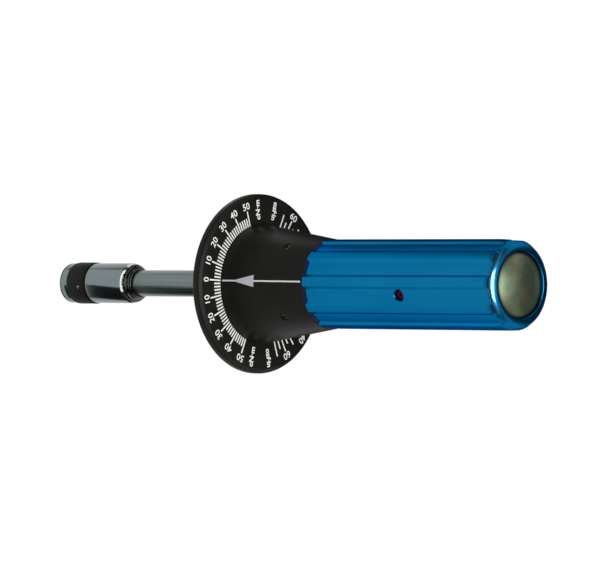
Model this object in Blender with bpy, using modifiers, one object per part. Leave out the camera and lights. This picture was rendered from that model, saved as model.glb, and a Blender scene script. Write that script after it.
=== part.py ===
"""Dial-indicating torque screwdriver, built as separate pieces.

The tool's axis is X. The origin is at the floor of the hex bit socket, +X points to the end of the
handle, and +Z to the pointer. Lengths are in metres and angles in degrees.

A thin torsion bar runs inside the hollow drive shaft. Its front end is pinned to the shaft and the
chuck, and its rear end is held in the handle, so torque twists the bar and turns the dial under the
pointer. The bit is held by a ball that a sprung sleeve lets go.
"""

import math

import bmesh
import bpy
from mathutils import Matrix, Vector

TOOL = "torque_screwdriver"

# Gaps: between pieces that turn or slide on each other, and between pieces that rest on each other.
RUN_GAP = 0.00015
REST_GAP = 0.00015

# How far a cutter runs past the face it opens.
CUTTER_OVERRUN = 0.001

# How many sides a turned piece has: large, medium and small ones.
SIDES_LARGE = 60
SIDES_MEDIUM = 40
SIDES_SMALL = 24

# Dial and shaft
DIAL_RADIUS = 0.0344
DIAL_BACK = 0.0853
DIAL_FRONT = 0.0893
DIAL_RIM_CHAMFER = 0.0016
DIAL_RIM_DEPTH = 0.0011
DIAL_EDGE = 0.0006
SHAFT_RADIUS = 0.0051
SHAFT_BORE = 0.0032
SHAFT_END = 0.1610
SPIGOT_RADIUS = 0.0044
SHAFT_GROOVE_GAP = 0.0002
SHAFT_CIRCLIP_RADIUS = 0.0070
SHAFT_CIRCLIP_OPENING = 0.0030
THRUST_WASHER_RADIUS = 0.0104

# Hub that clamps the dial to the shaft
HUB_BACK = 0.0760
HUB_RADIUS = 0.0090
FLANGE_RADIUS = 0.0135
FLANGE_THICK = 0.0025
DIAL_SCREW_CIRCLE = 0.0112
DIAL_SCREW_RADIUS = 0.0011
DIAL_SCREW_DEPTH = 0.0030
DIAL_SCREW_HEAD_RADIUS = 0.0019
DIAL_SCREW_HEAD_HEIGHT = 0.0013
DIAL_SCREW_HEAD_CHAMFER = 0.0002
DIAL_SCREW_KEY_RADIUS = 0.0010
DIAL_SCREW_KEY_DEPTH = 0.0007
HUB_CHAMFER = 0.0005
HUB_SCREW_RADIUS = 0.0015
HUB_SCREW_SUNK = 0.0004

# Pointer skirt
SKIRT_BASE = 0.0896
SKIRT_BASE_RADIUS = 0.02285
SKIRT_BASE_CHAMFER = 0.0003
SKIRT_END = 0.1258
SKIRT_END_RADIUS = 0.01725
SKIRT_SCREW_X = 0.1143
SKIRT_SCREW_RADIUS = 0.0014
SKIRT_SCREW_SUNK = 0.0003

# Handle
CREST_RADIUS = 0.0172
FLUTE_FLOOR = 0.01635
FLUTES = 10
CREST_HALF_ANGLE = 4.5
FLANK_HALF_ANGLE = 9.0
FLOOR_HALF_ANGLE = 4.0
FLANK_FOOT_RISE = 0.0001
FLUTE_BAR_MARGIN = 0.0002
FLUTE_BAR_OVERRUN = 0.01
HANDLE_FRONT = 0.1260
HANDLE_END = 0.2214
HANDLE_BORE = 0.01105
END_ROUND = 0.0042
SEAT_SLOPE = 0.78
SEAT_INNER_RADIUS = 0.0152
PLUG_RADIUS = 0.01225
PLUG_SEAT = 0.2160
PLUG_SPIGOT = 0.2100
DOME_RISE = 0.0031
PLUG_EDGE_SUNK = 0.0011

# Bearing housing and bushes
HOUSING_FRONT = 0.0910
HOUSING_END = 0.1600
HOUSING_RADIUS = 0.0109
FRONT_BUSH_END = 0.0995
FRONT_BUSH_RADIUS = 0.00745
REAR_BUSH_FRONT = 0.1500
REAR_BUSH_END = 0.1570
REAR_BUSH_RADIUS = 0.0095

# Overload stop: a lug on the shaft between two pins in the housing
DEFLECTION_LIMIT = 75.0
STOP_X = 0.1250
STOP_THICK = 0.0050
STOP_RADIUS = 0.0073
LUG_HALF_WIDTH = 0.0022
LUG_TOP = 0.0092
LUG_ROOT = 0.0010
LUG_INSET = 0.0002
STOP_PIN_RADIUS = 0.0010
STOP_PIN_INNER = 0.0076
STOP_PIN_CLEARANCE = 0.0002

# Torsion bar and the block that holds its rear end
BAR_RADIUS = 0.0008
BAR_HEAD_FRONT = 0.0080
BAR_HEAD_END = 0.0160
BAR_FOOT_FRONT = 0.1660
BAR_FOOT_END = 0.1830
BAR_FOOT_RADIUS = 0.0039
BAR_TAPER = 0.0020
ANCHOR_FRONT = 0.1680
ANCHOR_END = 0.1810
ANCHOR_SCREW_X = 0.1745
ANCHOR_SCREW_ANGLE = -18.0
ANCHOR_SCREW_RADIUS = 0.0019
ANCHOR_SCREW_OUTER = 0.0152

# Bit socket and chuck
SOCKET_DEPTH = 0.0140
SOCKET_ACROSS_FLATS = 0.0064
NOSE_RADIUS = 0.00775
NOSE_CHAMFER = 0.0005
MOUTH_DEPTH = 0.0010
MOUTH_RIM = 0.0007
MOUTH_FOOT = 0.0003
NOSE_FLANGE_END = -0.0129
BARREL_RADIUS = 0.0059
BARREL_END = 0.0212
BARREL_BORE_FLOOR = 0.0070
CHUCK_PIN_X = 0.0120
CHUCK_PIN_RADIUS = 0.0010
CHUCK_PIN_REACH = 0.00575

# Release sleeve, its grip ring and its spring
SLEEVE_FRONT = -0.01275
SLEEVE_END = 0.0212
SLEEVE_RADIUS = 0.00783
SLEEVE_BORE = 0.00605
SLEEVE_COUNTERBORE = 0.00725
SLEEVE_BEVEL = 0.0013
SLEEVE_LIP = 0.0001
SHOULDER_END = 0.0007
SHOULDER_FRONT = 0.0004
SHOULDER_DROP = 0.0002
LAND_CLEARANCE = 0.00005
LAND_MARGIN = 0.0002
LAND_RELIEF = 0.0014
SPRING_POCKET = 0.0060
GRIP_RADIUS = 0.0081
GRIP_FRONT = -0.0095
GRIP_END = -0.00005
GRIP_GROOVE_RADIUS = 0.0071
GRIP_CHAMFER = 0.0003
GRIP_PIN_RADIUS = 0.00075
GRIP_PIN_SUNK = 0.0001
SLEEVE_TRAVEL = 0.0040
SPRING_RADIUS = 0.00655
SPRING_WIRE = 0.00035
SPRING_TURNS = 5
SPRING_END = 0.0184
SPRING_SLACK = 0.0002
CIRCLIP_FRONT = 0.0193
CIRCLIP_THICK = 0.0008
CIRCLIP_GROOVE = 0.00045
CHUCK_CIRCLIP_RADIUS = 0.0069
CHUCK_CIRCLIP_OPENING = 0.0026

# Outline of the ring behind the chuck, as (x, radius) from front to back
TAIL_RING_STEPS = [
    (0.0216, 0.0069),
    (0.0220, 0.0069),
    (0.02225, 0.00625),
    (0.02225, 0.0059),
    (0.02275, 0.0059),
    (0.02275, 0.0062),
    (0.02315, 0.0062),
    (0.02315, 0.0056),
    (0.02345, 0.0056),
    (0.02345, 0.00575),
    (0.0240, 0.00575),
]

# Detent ball
BALL_X = -0.0034
BALL_ANGLE = -15.0
BALL_RADIUS = 0.0016
BALL_CENTRE = 0.00435
BALL_TRAVEL = 0.00045

# Fasteners
SCREW_KEY_SHARE = 0.5
SCREW_KEY_DEPTH = 0.0012

COLOURS = {
    "blue_aluminium": ((0.010, 0.150, 0.330), 0.35, 0.6),
    "black_aluminium": ((0.014, 0.014, 0.012), 0.55, 0.3),
    "satin_steel": ((0.55, 0.56, 0.55), 0.32, 1.0),
    "black_rubber": ((0.012, 0.012, 0.012), 0.7, 0.0),
    "spring_steel": ((0.30, 0.30, 0.31), 0.35, 1.0),
    "dark_screw": ((0.05, 0.05, 0.05), 0.4, 0.9),
    "bronze": ((0.50, 0.33, 0.14), 0.4, 1.0),
    "olive_zinc": ((0.33, 0.34, 0.20), 0.38, 0.9),
    "machined_aluminium": ((0.70, 0.71, 0.72), 0.35, 1.0),
}


def clear_scene():
    for old in list(bpy.data.objects):
        bpy.data.objects.remove(old, do_unlink=True)


def new_collection(name):
    collection = bpy.data.collections.new(name)
    bpy.context.scene.collection.children.link(collection)
    return collection


def look(name):
    """The named Principled material, made on first use."""
    if name in bpy.data.materials:
        return bpy.data.materials[name]
    colour, roughness, metallic = COLOURS[name]
    material = bpy.data.materials.new(name)
    material.use_nodes = True
    shader = material.node_tree.nodes["Principled BSDF"]
    shader.inputs["Base Color"].default_value = (*colour, 1.0)
    shader.inputs["Roughness"].default_value = roughness
    shader.inputs["Metallic"].default_value = metallic
    return material


class Assembly:
    """The tool's collections, and the empty that each moving group of pieces hangs from."""

    def __init__(self):
        self.parts = new_collection(TOOL)
        self.cutters = new_collection(TOOL + "_cutters")
        self.empties = {}

    def body(self, name):
        if name not in self.empties:
            empty = bpy.data.objects.new(name + "_axis", None)
            empty.empty_display_size = 0.01
            self.parts.objects.link(empty)
            self.empties[name] = empty
        return self.empties[name]

    def add(self, name, data, material, body):
        """A visible piece of a body. With no body it is a cutter, which only shapes other pieces."""
        piece = bpy.data.objects.new(name, data)
        if body is None:
            piece.hide_render = True
            piece.display_type = "WIRE"
            self.cutters.objects.link(piece)
            return piece
        data.materials.append(look(material))
        self.parts.objects.link(piece)
        piece.parent = self.body(body)
        return piece


def polar(radius, angle):
    """Y and Z of a point at an angle from +Z towards +Y."""
    return radius * math.sin(math.radians(angle)), radius * math.cos(math.radians(angle))


def radial(x, radius, angle):
    return Vector((x, *polar(radius, angle)))


def arc(centre_x, centre_radius, radius, start, end, steps):
    """Points of an arc in (x, radius), with angles from +X towards growing radius."""
    points = []
    for step in range(steps + 1):
        angle = math.radians(start + (end - start) * step / steps)
        points.append((centre_x + radius * math.cos(angle), centre_radius + radius * math.sin(angle)))
    return points


def turned(tool, name, outline, material, body, sides=SIDES_MEDIUM):
    """Solid of revolution about X from (x, radius) points, open where its ends lie on the axis."""
    following = outline[1:] + outline[:1]
    area = sum(x0 * r1 - x1 * r0 for (x0, r0), (x1, r1) in zip(outline, following))
    points = outline if area > 0 else outline[::-1]
    is_ring = all(r > 0 for x, r in points)
    if not is_ring:
        while not (points[0][1] == 0 and points[-1][1] == 0):
            points = points[1:] + points[:1]
    edges = [(i, i + 1) for i in range(len(points) - 1)]
    if is_ring:
        edges.append((len(points) - 1, 0))
    mesh = bpy.data.meshes.new(name)
    mesh.from_pydata([(x, 0.0, r) for x, r in points], edges, [])
    piece = tool.add(name, mesh, material, body)
    screw = piece.modifiers.new("turn", "SCREW")
    screw.axis = "X"
    screw.steps = sides
    screw.render_steps = sides
    screw.use_merge_vertices = True
    screw.merge_threshold = 0.000001
    return piece


def bar(tool, name, start, end, radius, material, body, sides=SIDES_SMALL):
    """Straight round bar between two points, or a hexagonal one with six sides."""
    start, end = Vector(start), Vector(end)
    work = bmesh.new()
    bmesh.ops.create_cone(
        work,
        cap_ends=True,
        segments=sides,
        radius1=radius,
        radius2=radius,
        depth=(end - start).length,
    )
    mesh = bpy.data.meshes.new(name)
    work.to_mesh(mesh)
    work.free()
    piece = tool.add(name, mesh, material, body)
    turn = (end - start).to_track_quat("Z", "Y")
    piece.location = (start + end) / 2
    piece.rotation_mode = "QUATERNION"
    piece.rotation_quaternion = turn
    return piece


def block(tool, name, low, high, material, body):
    """Box between two corners."""
    low, high = Vector(low), Vector(high)
    size = high - low
    work = bmesh.new()
    bmesh.ops.create_cube(work, size=1.0, matrix=Matrix.Diagonal((*size, 1.0)))
    mesh = bpy.data.meshes.new(name)
    work.to_mesh(mesh)
    work.free()
    piece = tool.add(name, mesh, material, body)
    piece.location = (low + high) / 2
    return piece


def combine(piece, other, operation):
    boolean = piece.modifiers.new(other.name, "BOOLEAN")
    boolean.operation = operation
    boolean.solver = "EXACT"
    boolean.object = other


def cut(piece, *cutters):
    for cutter in cutters:
        combine(piece, cutter, "DIFFERENCE")


def socket_screw(tool, name, tip, head, radius, body):
    """Headless screw from tip to head, with a hexagonal recess in its head."""
    tip, head = Vector(tip), Vector(head)
    screw = bar(tool, name, tip, head, radius, "dark_screw", body)
    outward = (head - tip).normalized()
    key = bar(
        tool,
        name + "_key",
        head - outward * SCREW_KEY_DEPTH,
        head + outward * SCREW_KEY_DEPTH,
        radius * SCREW_KEY_SHARE,
        None,
        None,
        sides=6,
    )
    cut(screw, key)
    return screw


def split_ring(tool, name, front, thick, inner, outer, gap, body):
    """Open retaining ring, with its gap at the side away from the pointer."""
    ring = turned(
        tool,
        name,
        [(front, inner), (front, outer), (front + thick, outer), (front + thick, inner)],
        "spring_steel",
        body,
    )
    low = (front - thick, -gap / 2, -outer * 1.5)
    high = (front + 2 * thick, gap / 2, -inner * 0.5)
    cut(ring, block(tool, name + "_gap", low, high, None, None))
    return ring


def fluted_bar(tool):
    """Bar with the handle's flutes, longer than the handle, which shapes the turned blank."""
    period = 360.0 / FLUTES
    outer = CREST_RADIUS + FLUTE_BAR_MARGIN
    foot = FLUTE_FLOOR + FLANK_FOOT_RISE
    steps = [
        (-CREST_HALF_ANGLE, outer),
        (0.0, outer),
        (CREST_HALF_ANGLE, outer),
        (FLANK_HALF_ANGLE, foot),
        (period / 2 - FLOOR_HALF_ANGLE, FLUTE_FLOOR),
        (period / 2 + FLOOR_HALF_ANGLE, FLUTE_FLOOR),
        (period - FLANK_HALF_ANGLE, foot),
    ]
    start = HANDLE_FRONT - FLUTE_BAR_OVERRUN
    length = HANDLE_END - HANDLE_FRONT + 2 * FLUTE_BAR_OVERRUN
    work = bmesh.new()
    rim = []
    for flute in range(FLUTES):
        for angle, radius in steps:
            rim.append(work.verts.new(radial(start, radius, angle + flute * period)))
    face = work.faces.new(rim)
    grown = bmesh.ops.extrude_face_region(work, geom=[face])
    moved = [item for item in grown["geom"] if isinstance(item, bmesh.types.BMVert)]
    bmesh.ops.translate(work, verts=moved, vec=(length, 0.0, 0.0))
    bmesh.ops.recalc_face_normals(work, faces=work.faces)
    mesh = bpy.data.meshes.new("flutes")
    work.to_mesh(mesh)
    work.free()
    return tool.add("flutes", mesh, None, None)


def make_handle(tool):
    """Fluted grip with a rounded end, a conical seat for the skirt and a stepped bore."""
    seat_depth = (CREST_RADIUS - SEAT_INNER_RADIUS) / SEAT_SLOPE
    shoulder = HANDLE_FRONT + seat_depth
    round_x = HANDLE_END - END_ROUND
    round_radius = CREST_RADIUS - END_ROUND
    plug_bore = PLUG_RADIUS + REST_GAP
    outline = [
        (HANDLE_FRONT, CREST_RADIUS),
        (shoulder, SEAT_INNER_RADIUS),
        (shoulder, HANDLE_BORE),
        (PLUG_SEAT - REST_GAP, HANDLE_BORE),
        (PLUG_SEAT - REST_GAP, plug_bore),
        (HANDLE_END, plug_bore),
    ]
    outline += arc(round_x, round_radius, END_ROUND, 0.0, 90.0, 6)
    handle = turned(tool, "handle", outline, "blue_aluminium", "handle", sides=SIDES_LARGE)
    combine(handle, fluted_bar(tool), "INTERSECT")
    inner = radial(ANCHOR_SCREW_X, HANDLE_BORE / 2, ANCHOR_SCREW_ANGLE)
    outer = radial(ANCHOR_SCREW_X, CREST_RADIUS * 1.2, ANCHOR_SCREW_ANGLE)
    hole = bar(tool, "anchor_hole", inner, outer, ANCHOR_SCREW_RADIUS + REST_GAP, None, None)
    cut(handle, hole)


def make_end_plug(tool):
    """Domed metal plug pressed into the handle's end."""
    edge_x = HANDLE_END - PLUG_EDGE_SUNK
    dome = []
    steps = 6
    for step in range(steps):
        share = step / steps
        dome.append((edge_x + DOME_RISE * (1 - share**2), PLUG_RADIUS * share))
    outline = dome + [
        (edge_x, PLUG_RADIUS),
        (PLUG_SEAT, PLUG_RADIUS),
        (PLUG_SEAT, HOUSING_RADIUS),
        (PLUG_SPIGOT, HOUSING_RADIUS),
        (PLUG_SPIGOT, 0.0),
    ]
    turned(tool, "end_plug", outline, "olive_zinc", "handle", sides=SIDES_LARGE)


def skirt_radius(x):
    share = (x - SKIRT_BASE) / (SKIRT_END - SKIRT_BASE)
    return SKIRT_BASE_RADIUS + (SKIRT_END_RADIUS - SKIRT_BASE_RADIUS) * share


def make_pointer_skirt(tool):
    """Tapered collar that carries the pointer over the dial, with four screws on the housing."""
    seat_end = HANDLE_FRONT + (CREST_RADIUS - SEAT_INNER_RADIUS) / SEAT_SLOPE - REST_GAP
    seat_radius = SKIRT_END_RADIUS - SEAT_SLOPE * (seat_end - SKIRT_END)
    outline = [
        (SKIRT_BASE, HANDLE_BORE),
        (SKIRT_BASE, SKIRT_BASE_RADIUS - SKIRT_BASE_CHAMFER),
        (SKIRT_BASE + SKIRT_BASE_CHAMFER, SKIRT_BASE_RADIUS),
        (SKIRT_END, SKIRT_END_RADIUS),
        (seat_end, seat_radius),
        (seat_end, HANDLE_BORE),
    ]
    skirt = turned(tool, "pointer_skirt", outline, "black_aluminium", "handle", sides=SIDES_LARGE)
    surface = skirt_radius(SKIRT_SCREW_X)
    for number in range(4):
        angle = 45.0 + 90.0 * number
        tip = radial(SKIRT_SCREW_X, HOUSING_RADIUS + REST_GAP, angle)
        head = radial(SKIRT_SCREW_X, surface - SKIRT_SCREW_SUNK, angle)
        name = f"skirt_screw_{number + 1}"
        socket_screw(tool, name, tip, head, SKIRT_SCREW_RADIUS, "handle")
        start = radial(SKIRT_SCREW_X, HANDLE_BORE / 2, angle)
        end = radial(SKIRT_SCREW_X, surface * 1.2, angle)
        cut(skirt, bar(tool, name + "_hole", start, end, SKIRT_SCREW_RADIUS + REST_GAP, None, None))


def stop_pin_angle():
    """Where a stop pin stands from the lug at rest, so that the two meet just past the limit."""
    reach = LUG_HALF_WIDTH + STOP_PIN_RADIUS + STOP_PIN_CLEARANCE
    return DEFLECTION_LIMIT + math.degrees(math.asin(reach / STOP_PIN_INNER))


def make_bearing_housing(tool):
    """Tube inside the skirt and the handle that carries both bushes and the stop pins."""
    front_seat = FRONT_BUSH_RADIUS + REST_GAP
    rear_seat = REAR_BUSH_RADIUS + REST_GAP
    step = FRONT_BUSH_END + REST_GAP
    outline = [
        (HOUSING_FRONT, front_seat),
        (step, front_seat),
        (step, rear_seat),
        (HOUSING_END, rear_seat),
        (HOUSING_END, HOUSING_RADIUS),
        (HOUSING_FRONT, HOUSING_RADIUS),
    ]
    housing = turned(tool, "bearing_housing", outline, "machined_aluminium", "handle")
    for number, side in enumerate((1, -1)):
        angle = side * stop_pin_angle()
        name = f"stop_pin_{number + 1}"
        inner = radial(STOP_X, STOP_PIN_INNER, angle)
        outer = radial(STOP_X, HOUSING_RADIUS - REST_GAP, angle)
        bar(tool, name, inner, outer, STOP_PIN_RADIUS, "satin_steel", "handle")
        end = radial(STOP_X, HOUSING_RADIUS * 1.2, angle)
        cut(housing, bar(tool, name + "_hole", inner, end, STOP_PIN_RADIUS + REST_GAP, None, None))


def ring(tool, name, front, end, inner, outer, material, body, sides=SIDES_MEDIUM):
    """Plain ring or bush."""
    outline = [(front, inner), (front, outer), (end, outer), (end, inner)]
    return turned(tool, name, outline, material, body, sides=sides)


def make_bushes(tool):
    bore = SHAFT_RADIUS + RUN_GAP
    front = HOUSING_FRONT + REST_GAP
    ring(tool, "front_bush", front, FRONT_BUSH_END, bore, FRONT_BUSH_RADIUS, "bronze", "handle")
    ring(tool, "rear_bush", REAR_BUSH_FRONT, REAR_BUSH_END, bore, REAR_BUSH_RADIUS, "bronze", "handle")
    washer_front = DIAL_FRONT + RUN_GAP
    washer_end = HOUSING_FRONT - RUN_GAP
    ring(tool, "thrust_washer", washer_front, washer_end, bore, THRUST_WASHER_RADIUS, "bronze", "drive")


def make_anchor(tool):
    """Block in the handle that holds the torsion bar's foot, and the screw that locks it."""
    foot_bore = BAR_FOOT_RADIUS + RUN_GAP
    anchor = ring(
        tool, "anchor_block", ANCHOR_FRONT, ANCHOR_END, foot_bore, HOUSING_RADIUS, "satin_steel", "handle"
    )
    inner = radial(ANCHOR_SCREW_X, foot_bore / 2, ANCHOR_SCREW_ANGLE)
    outer = radial(ANCHOR_SCREW_X, HOUSING_RADIUS * 1.2, ANCHOR_SCREW_ANGLE)
    hole = bar(tool, "anchor_block_hole", inner, outer, ANCHOR_SCREW_RADIUS + REST_GAP, None, None)
    cut(anchor, hole)
    tip = radial(ANCHOR_SCREW_X, foot_bore + RUN_GAP, ANCHOR_SCREW_ANGLE)
    head = radial(ANCHOR_SCREW_X, ANCHOR_SCREW_OUTER, ANCHOR_SCREW_ANGLE)
    socket_screw(tool, "anchor_screw", tip, head, ANCHOR_SCREW_RADIUS, "handle")


def make_shaft(tool, pin_hole):
    """Hollow drive shaft, with a spigot for the chuck and a groove for its retaining ring."""
    groove_front = REAR_BUSH_END + SHAFT_GROOVE_GAP
    groove_end = groove_front + CIRCLIP_THICK + 2 * REST_GAP
    groove_radius = SPIGOT_RADIUS
    outline = [
        (BARREL_BORE_FLOOR + 2 * REST_GAP, SHAFT_BORE),
        (BARREL_BORE_FLOOR + 2 * REST_GAP, SPIGOT_RADIUS),
        (BARREL_END + REST_GAP, SPIGOT_RADIUS),
        (BARREL_END + REST_GAP, SHAFT_RADIUS),
        (groove_front, SHAFT_RADIUS),
        (groove_front, groove_radius),
        (groove_end, groove_radius),
        (groove_end, SHAFT_RADIUS),
        (SHAFT_END, SHAFT_RADIUS),
        (SHAFT_END, SHAFT_BORE),
    ]
    shaft = turned(tool, "drive_shaft", outline, "satin_steel", "drive")
    key_start = radial(STOP_X, 0.5 * SHAFT_BORE, 180.0)
    key_end = radial(STOP_X, 1.5 * SHAFT_RADIUS, 180.0)
    cut(shaft, pin_hole)
    cut(shaft, bar(tool, "stop_key_hole", key_start, key_end, STOP_PIN_RADIUS + REST_GAP, None, None))
    split_ring(
        tool,
        "shaft_circlip",
        groove_front + REST_GAP,
        CIRCLIP_THICK,
        groove_radius + REST_GAP,
        SHAFT_CIRCLIP_RADIUS,
        SHAFT_CIRCLIP_OPENING,
        "drive",
    )


def make_torsion_bar(tool, pin_hole):
    """Thin bar with a pinned head at the chuck and a round foot in the anchor block."""
    head_radius = SHAFT_BORE - REST_GAP
    outline = [
        (BAR_HEAD_FRONT, 0.0),
        (BAR_HEAD_FRONT, head_radius),
        (BAR_HEAD_END, head_radius),
        (BAR_HEAD_END + BAR_TAPER, BAR_RADIUS),
        (BAR_FOOT_FRONT - BAR_TAPER, BAR_RADIUS),
        (BAR_FOOT_FRONT, BAR_FOOT_RADIUS),
        (BAR_FOOT_END, BAR_FOOT_RADIUS),
        (BAR_FOOT_END, 0.0),
    ]
    torsion_bar = turned(tool, "torsion_bar", outline, "spring_steel", "drive", sides=SIDES_SMALL)
    cut(torsion_bar, pin_hole)


def make_stop_flange(tool):
    """Ring with a lug on the shaft, keyed to it by a short pin."""
    front = STOP_X - STOP_THICK / 2
    end = STOP_X + STOP_THICK / 2
    bore = SHAFT_RADIUS + REST_GAP
    flange = ring(tool, "stop_flange", front, end, bore, STOP_RADIUS, "satin_steel", "drive")
    low = (front + LUG_INSET, -LUG_HALF_WIDTH, STOP_RADIUS - LUG_ROOT)
    high = (end - LUG_INSET, LUG_HALF_WIDTH, LUG_TOP)
    combine(flange, block(tool, "stop_lug", low, high, None, None), "UNION")
    inner = radial(STOP_X, SHAFT_BORE + REST_GAP, 180.0)
    outer = radial(STOP_X, STOP_RADIUS - REST_GAP, 180.0)
    bar(tool, "stop_key", inner, outer, STOP_PIN_RADIUS, "spring_steel", "drive")
    start = radial(STOP_X, 0.5 * SHAFT_RADIUS, 180.0)
    past = radial(STOP_X, 1.3 * STOP_RADIUS, 180.0)
    cut(flange, bar(tool, "stop_flange_hole", start, past, STOP_PIN_RADIUS + REST_GAP, None, None))


def make_dial(tool):
    """Round scale disc, screwed to a hub that a grub screw clamps on the shaft."""
    bore = SHAFT_RADIUS + REST_GAP
    outline = [
        (DIAL_BACK, bore),
        (DIAL_BACK, DIAL_RADIUS - DIAL_EDGE),
        (DIAL_BACK + DIAL_EDGE, DIAL_RADIUS),
        (DIAL_FRONT - DIAL_RIM_DEPTH, DIAL_RADIUS),
        (DIAL_FRONT - DIAL_EDGE, DIAL_RADIUS - DIAL_EDGE),
        (DIAL_FRONT, DIAL_RADIUS - DIAL_RIM_CHAMFER),
        (DIAL_FRONT, bore),
    ]
    dial = turned(tool, "dial", outline, "black_aluminium", "drive", sides=SIDES_LARGE)
    flange_end = DIAL_BACK - REST_GAP
    flange_back = flange_end - FLANGE_THICK
    hub_outline = [
        (HUB_BACK, bore),
        (HUB_BACK, HUB_RADIUS - HUB_CHAMFER),
        (HUB_BACK + HUB_CHAMFER, HUB_RADIUS),
        (flange_back, HUB_RADIUS),
        (flange_back, FLANGE_RADIUS),
        (flange_end, FLANGE_RADIUS),
        (flange_end, bore),
    ]
    hub = turned(tool, "dial_hub", hub_outline, "machined_aluminium", "drive")
    for number in range(3):
        name = f"dial_screw_{number + 1}"
        y, z = polar(DIAL_SCREW_CIRCLE, 120.0 * number)
        tip = (DIAL_BACK + DIAL_SCREW_DEPTH, y, z)
        hole_radius = DIAL_SCREW_RADIUS + REST_GAP
        hole = bar(tool, name + "_hole", (flange_back - CUTTER_OVERRUN, y, z), tip, hole_radius, None, None)
        cut(hub, hole)
        cut(dial, hole)
        make_dial_screw(tool, name, y, z, flange_back)
    grub_x = (HUB_BACK + flange_back) / 2
    hub_tip = radial(grub_x, SHAFT_RADIUS + REST_GAP, 0.0)
    hub_head = radial(grub_x, HUB_RADIUS - HUB_SCREW_SUNK, 0.0)
    socket_screw(tool, "hub_screw", hub_tip, hub_head, HUB_SCREW_RADIUS, "drive")
    start = radial(grub_x, SHAFT_RADIUS / 2, 0.0)
    past = radial(grub_x, HUB_RADIUS * 1.2, 0.0)
    cut(hub, bar(tool, "hub_screw_hole", start, past, HUB_SCREW_RADIUS + REST_GAP, None, None))


def make_dial_screw(tool, name, y, z, flange_back):
    """Cheese-head screw whose head rests on the hub's flange."""
    head_radius = DIAL_SCREW_HEAD_RADIUS
    under_head = flange_back - REST_GAP
    top = under_head - DIAL_SCREW_HEAD_HEIGHT
    outline = [
        (top, 0.0),
        (top, head_radius - DIAL_SCREW_HEAD_CHAMFER),
        (top + DIAL_SCREW_HEAD_CHAMFER, head_radius),
        (under_head, head_radius),
        (under_head, DIAL_SCREW_RADIUS),
        (DIAL_BACK + DIAL_SCREW_DEPTH - REST_GAP, DIAL_SCREW_RADIUS),
        (DIAL_BACK + DIAL_SCREW_DEPTH - REST_GAP, 0.0),
    ]
    screw = turned(tool, name, outline, "dark_screw", "drive", sides=SIDES_SMALL)
    screw.location = (0.0, y, z)
    start = (top - CUTTER_OVERRUN, y, z)
    floor = (top + DIAL_SCREW_KEY_DEPTH, y, z)
    cut(screw, bar(tool, name + "_key", start, floor, DIAL_SCREW_KEY_RADIUS, None, None, sides=6))


def make_chuck_body(tool, pin_hole):
    """Barrel with the hex bit socket in its nose and a bore for the shaft's spigot behind."""
    circumradius = SOCKET_ACROSS_FLATS / 2 / math.cos(math.radians(30.0))
    nose = -SOCKET_DEPTH
    mouth_floor = nose + MOUTH_DEPTH
    groove_front = CIRCLIP_FRONT - REST_GAP
    groove_end = CIRCLIP_FRONT + CIRCLIP_THICK + REST_GAP
    groove_radius = BARREL_RADIUS - CIRCLIP_GROOVE
    bore = SPIGOT_RADIUS + REST_GAP
    outline = [
        (BARREL_BORE_FLOOR, 0.0),
        (BARREL_BORE_FLOOR, bore),
        (BARREL_END, bore),
        (BARREL_END, BARREL_RADIUS),
        (groove_end, BARREL_RADIUS),
        (groove_end, groove_radius),
        (groove_front, groove_radius),
        (groove_front, BARREL_RADIUS),
        (NOSE_FLANGE_END, BARREL_RADIUS),
        (NOSE_FLANGE_END, NOSE_RADIUS),
        (nose + NOSE_CHAMFER, NOSE_RADIUS),
        (nose, NOSE_RADIUS - NOSE_CHAMFER),
        (nose, circumradius + MOUTH_RIM),
        (mouth_floor, circumradius - MOUTH_FOOT),
        (mouth_floor, 0.0),
    ]
    chuck = turned(tool, "chuck_body", outline, "satin_steel", "drive")
    start = (nose - 2 * CUTTER_OVERRUN, 0.0, 0.0)
    socket = bar(tool, "bit_socket", start, (0.0, 0.0, 0.0), circumradius, None, None, sides=6)
    aim_flat_at_ball(socket)
    ball_inner = radial(BALL_X, 0.0010, BALL_ANGLE)
    ball_outer = radial(BALL_X, BARREL_RADIUS * 1.2, BALL_ANGLE)
    ball_hole = bar(tool, "ball_hole", ball_inner, ball_outer, BALL_RADIUS + RUN_GAP, None, None)
    cut(chuck, socket, pin_hole, ball_hole)
    reach = Vector((0.0, CHUCK_PIN_REACH, 0.0))
    middle = Vector((CHUCK_PIN_X, 0.0, 0.0))
    bar(tool, "chuck_pin", middle - reach, middle + reach, CHUCK_PIN_RADIUS, "spring_steel", "drive")


def aim_flat_at_ball(socket):
    """Turns the hexagon about the tool's axis until the middle of a flat faces the ball."""
    corner = socket.rotation_quaternion @ Vector((0.0, 1.0, 0.0))
    corner_angle = math.degrees(math.atan2(corner.y, corner.z))
    turn = math.radians(30.0 - (BALL_ANGLE - corner_angle))
    spin = Matrix.Rotation(turn, 3, "X").to_quaternion()
    socket.rotation_quaternion = spin @ socket.rotation_quaternion


def make_tail_ring(tool):
    """Ring on the shaft that backs the chuck, with two grooves and a smaller step behind each."""
    bore = SHAFT_RADIUS + REST_GAP
    outline = [(TAIL_RING_STEPS[0][0], bore), *TAIL_RING_STEPS, (TAIL_RING_STEPS[-1][0], bore)]
    turned(tool, "tail_ring", outline, "satin_steel", "drive")


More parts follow.
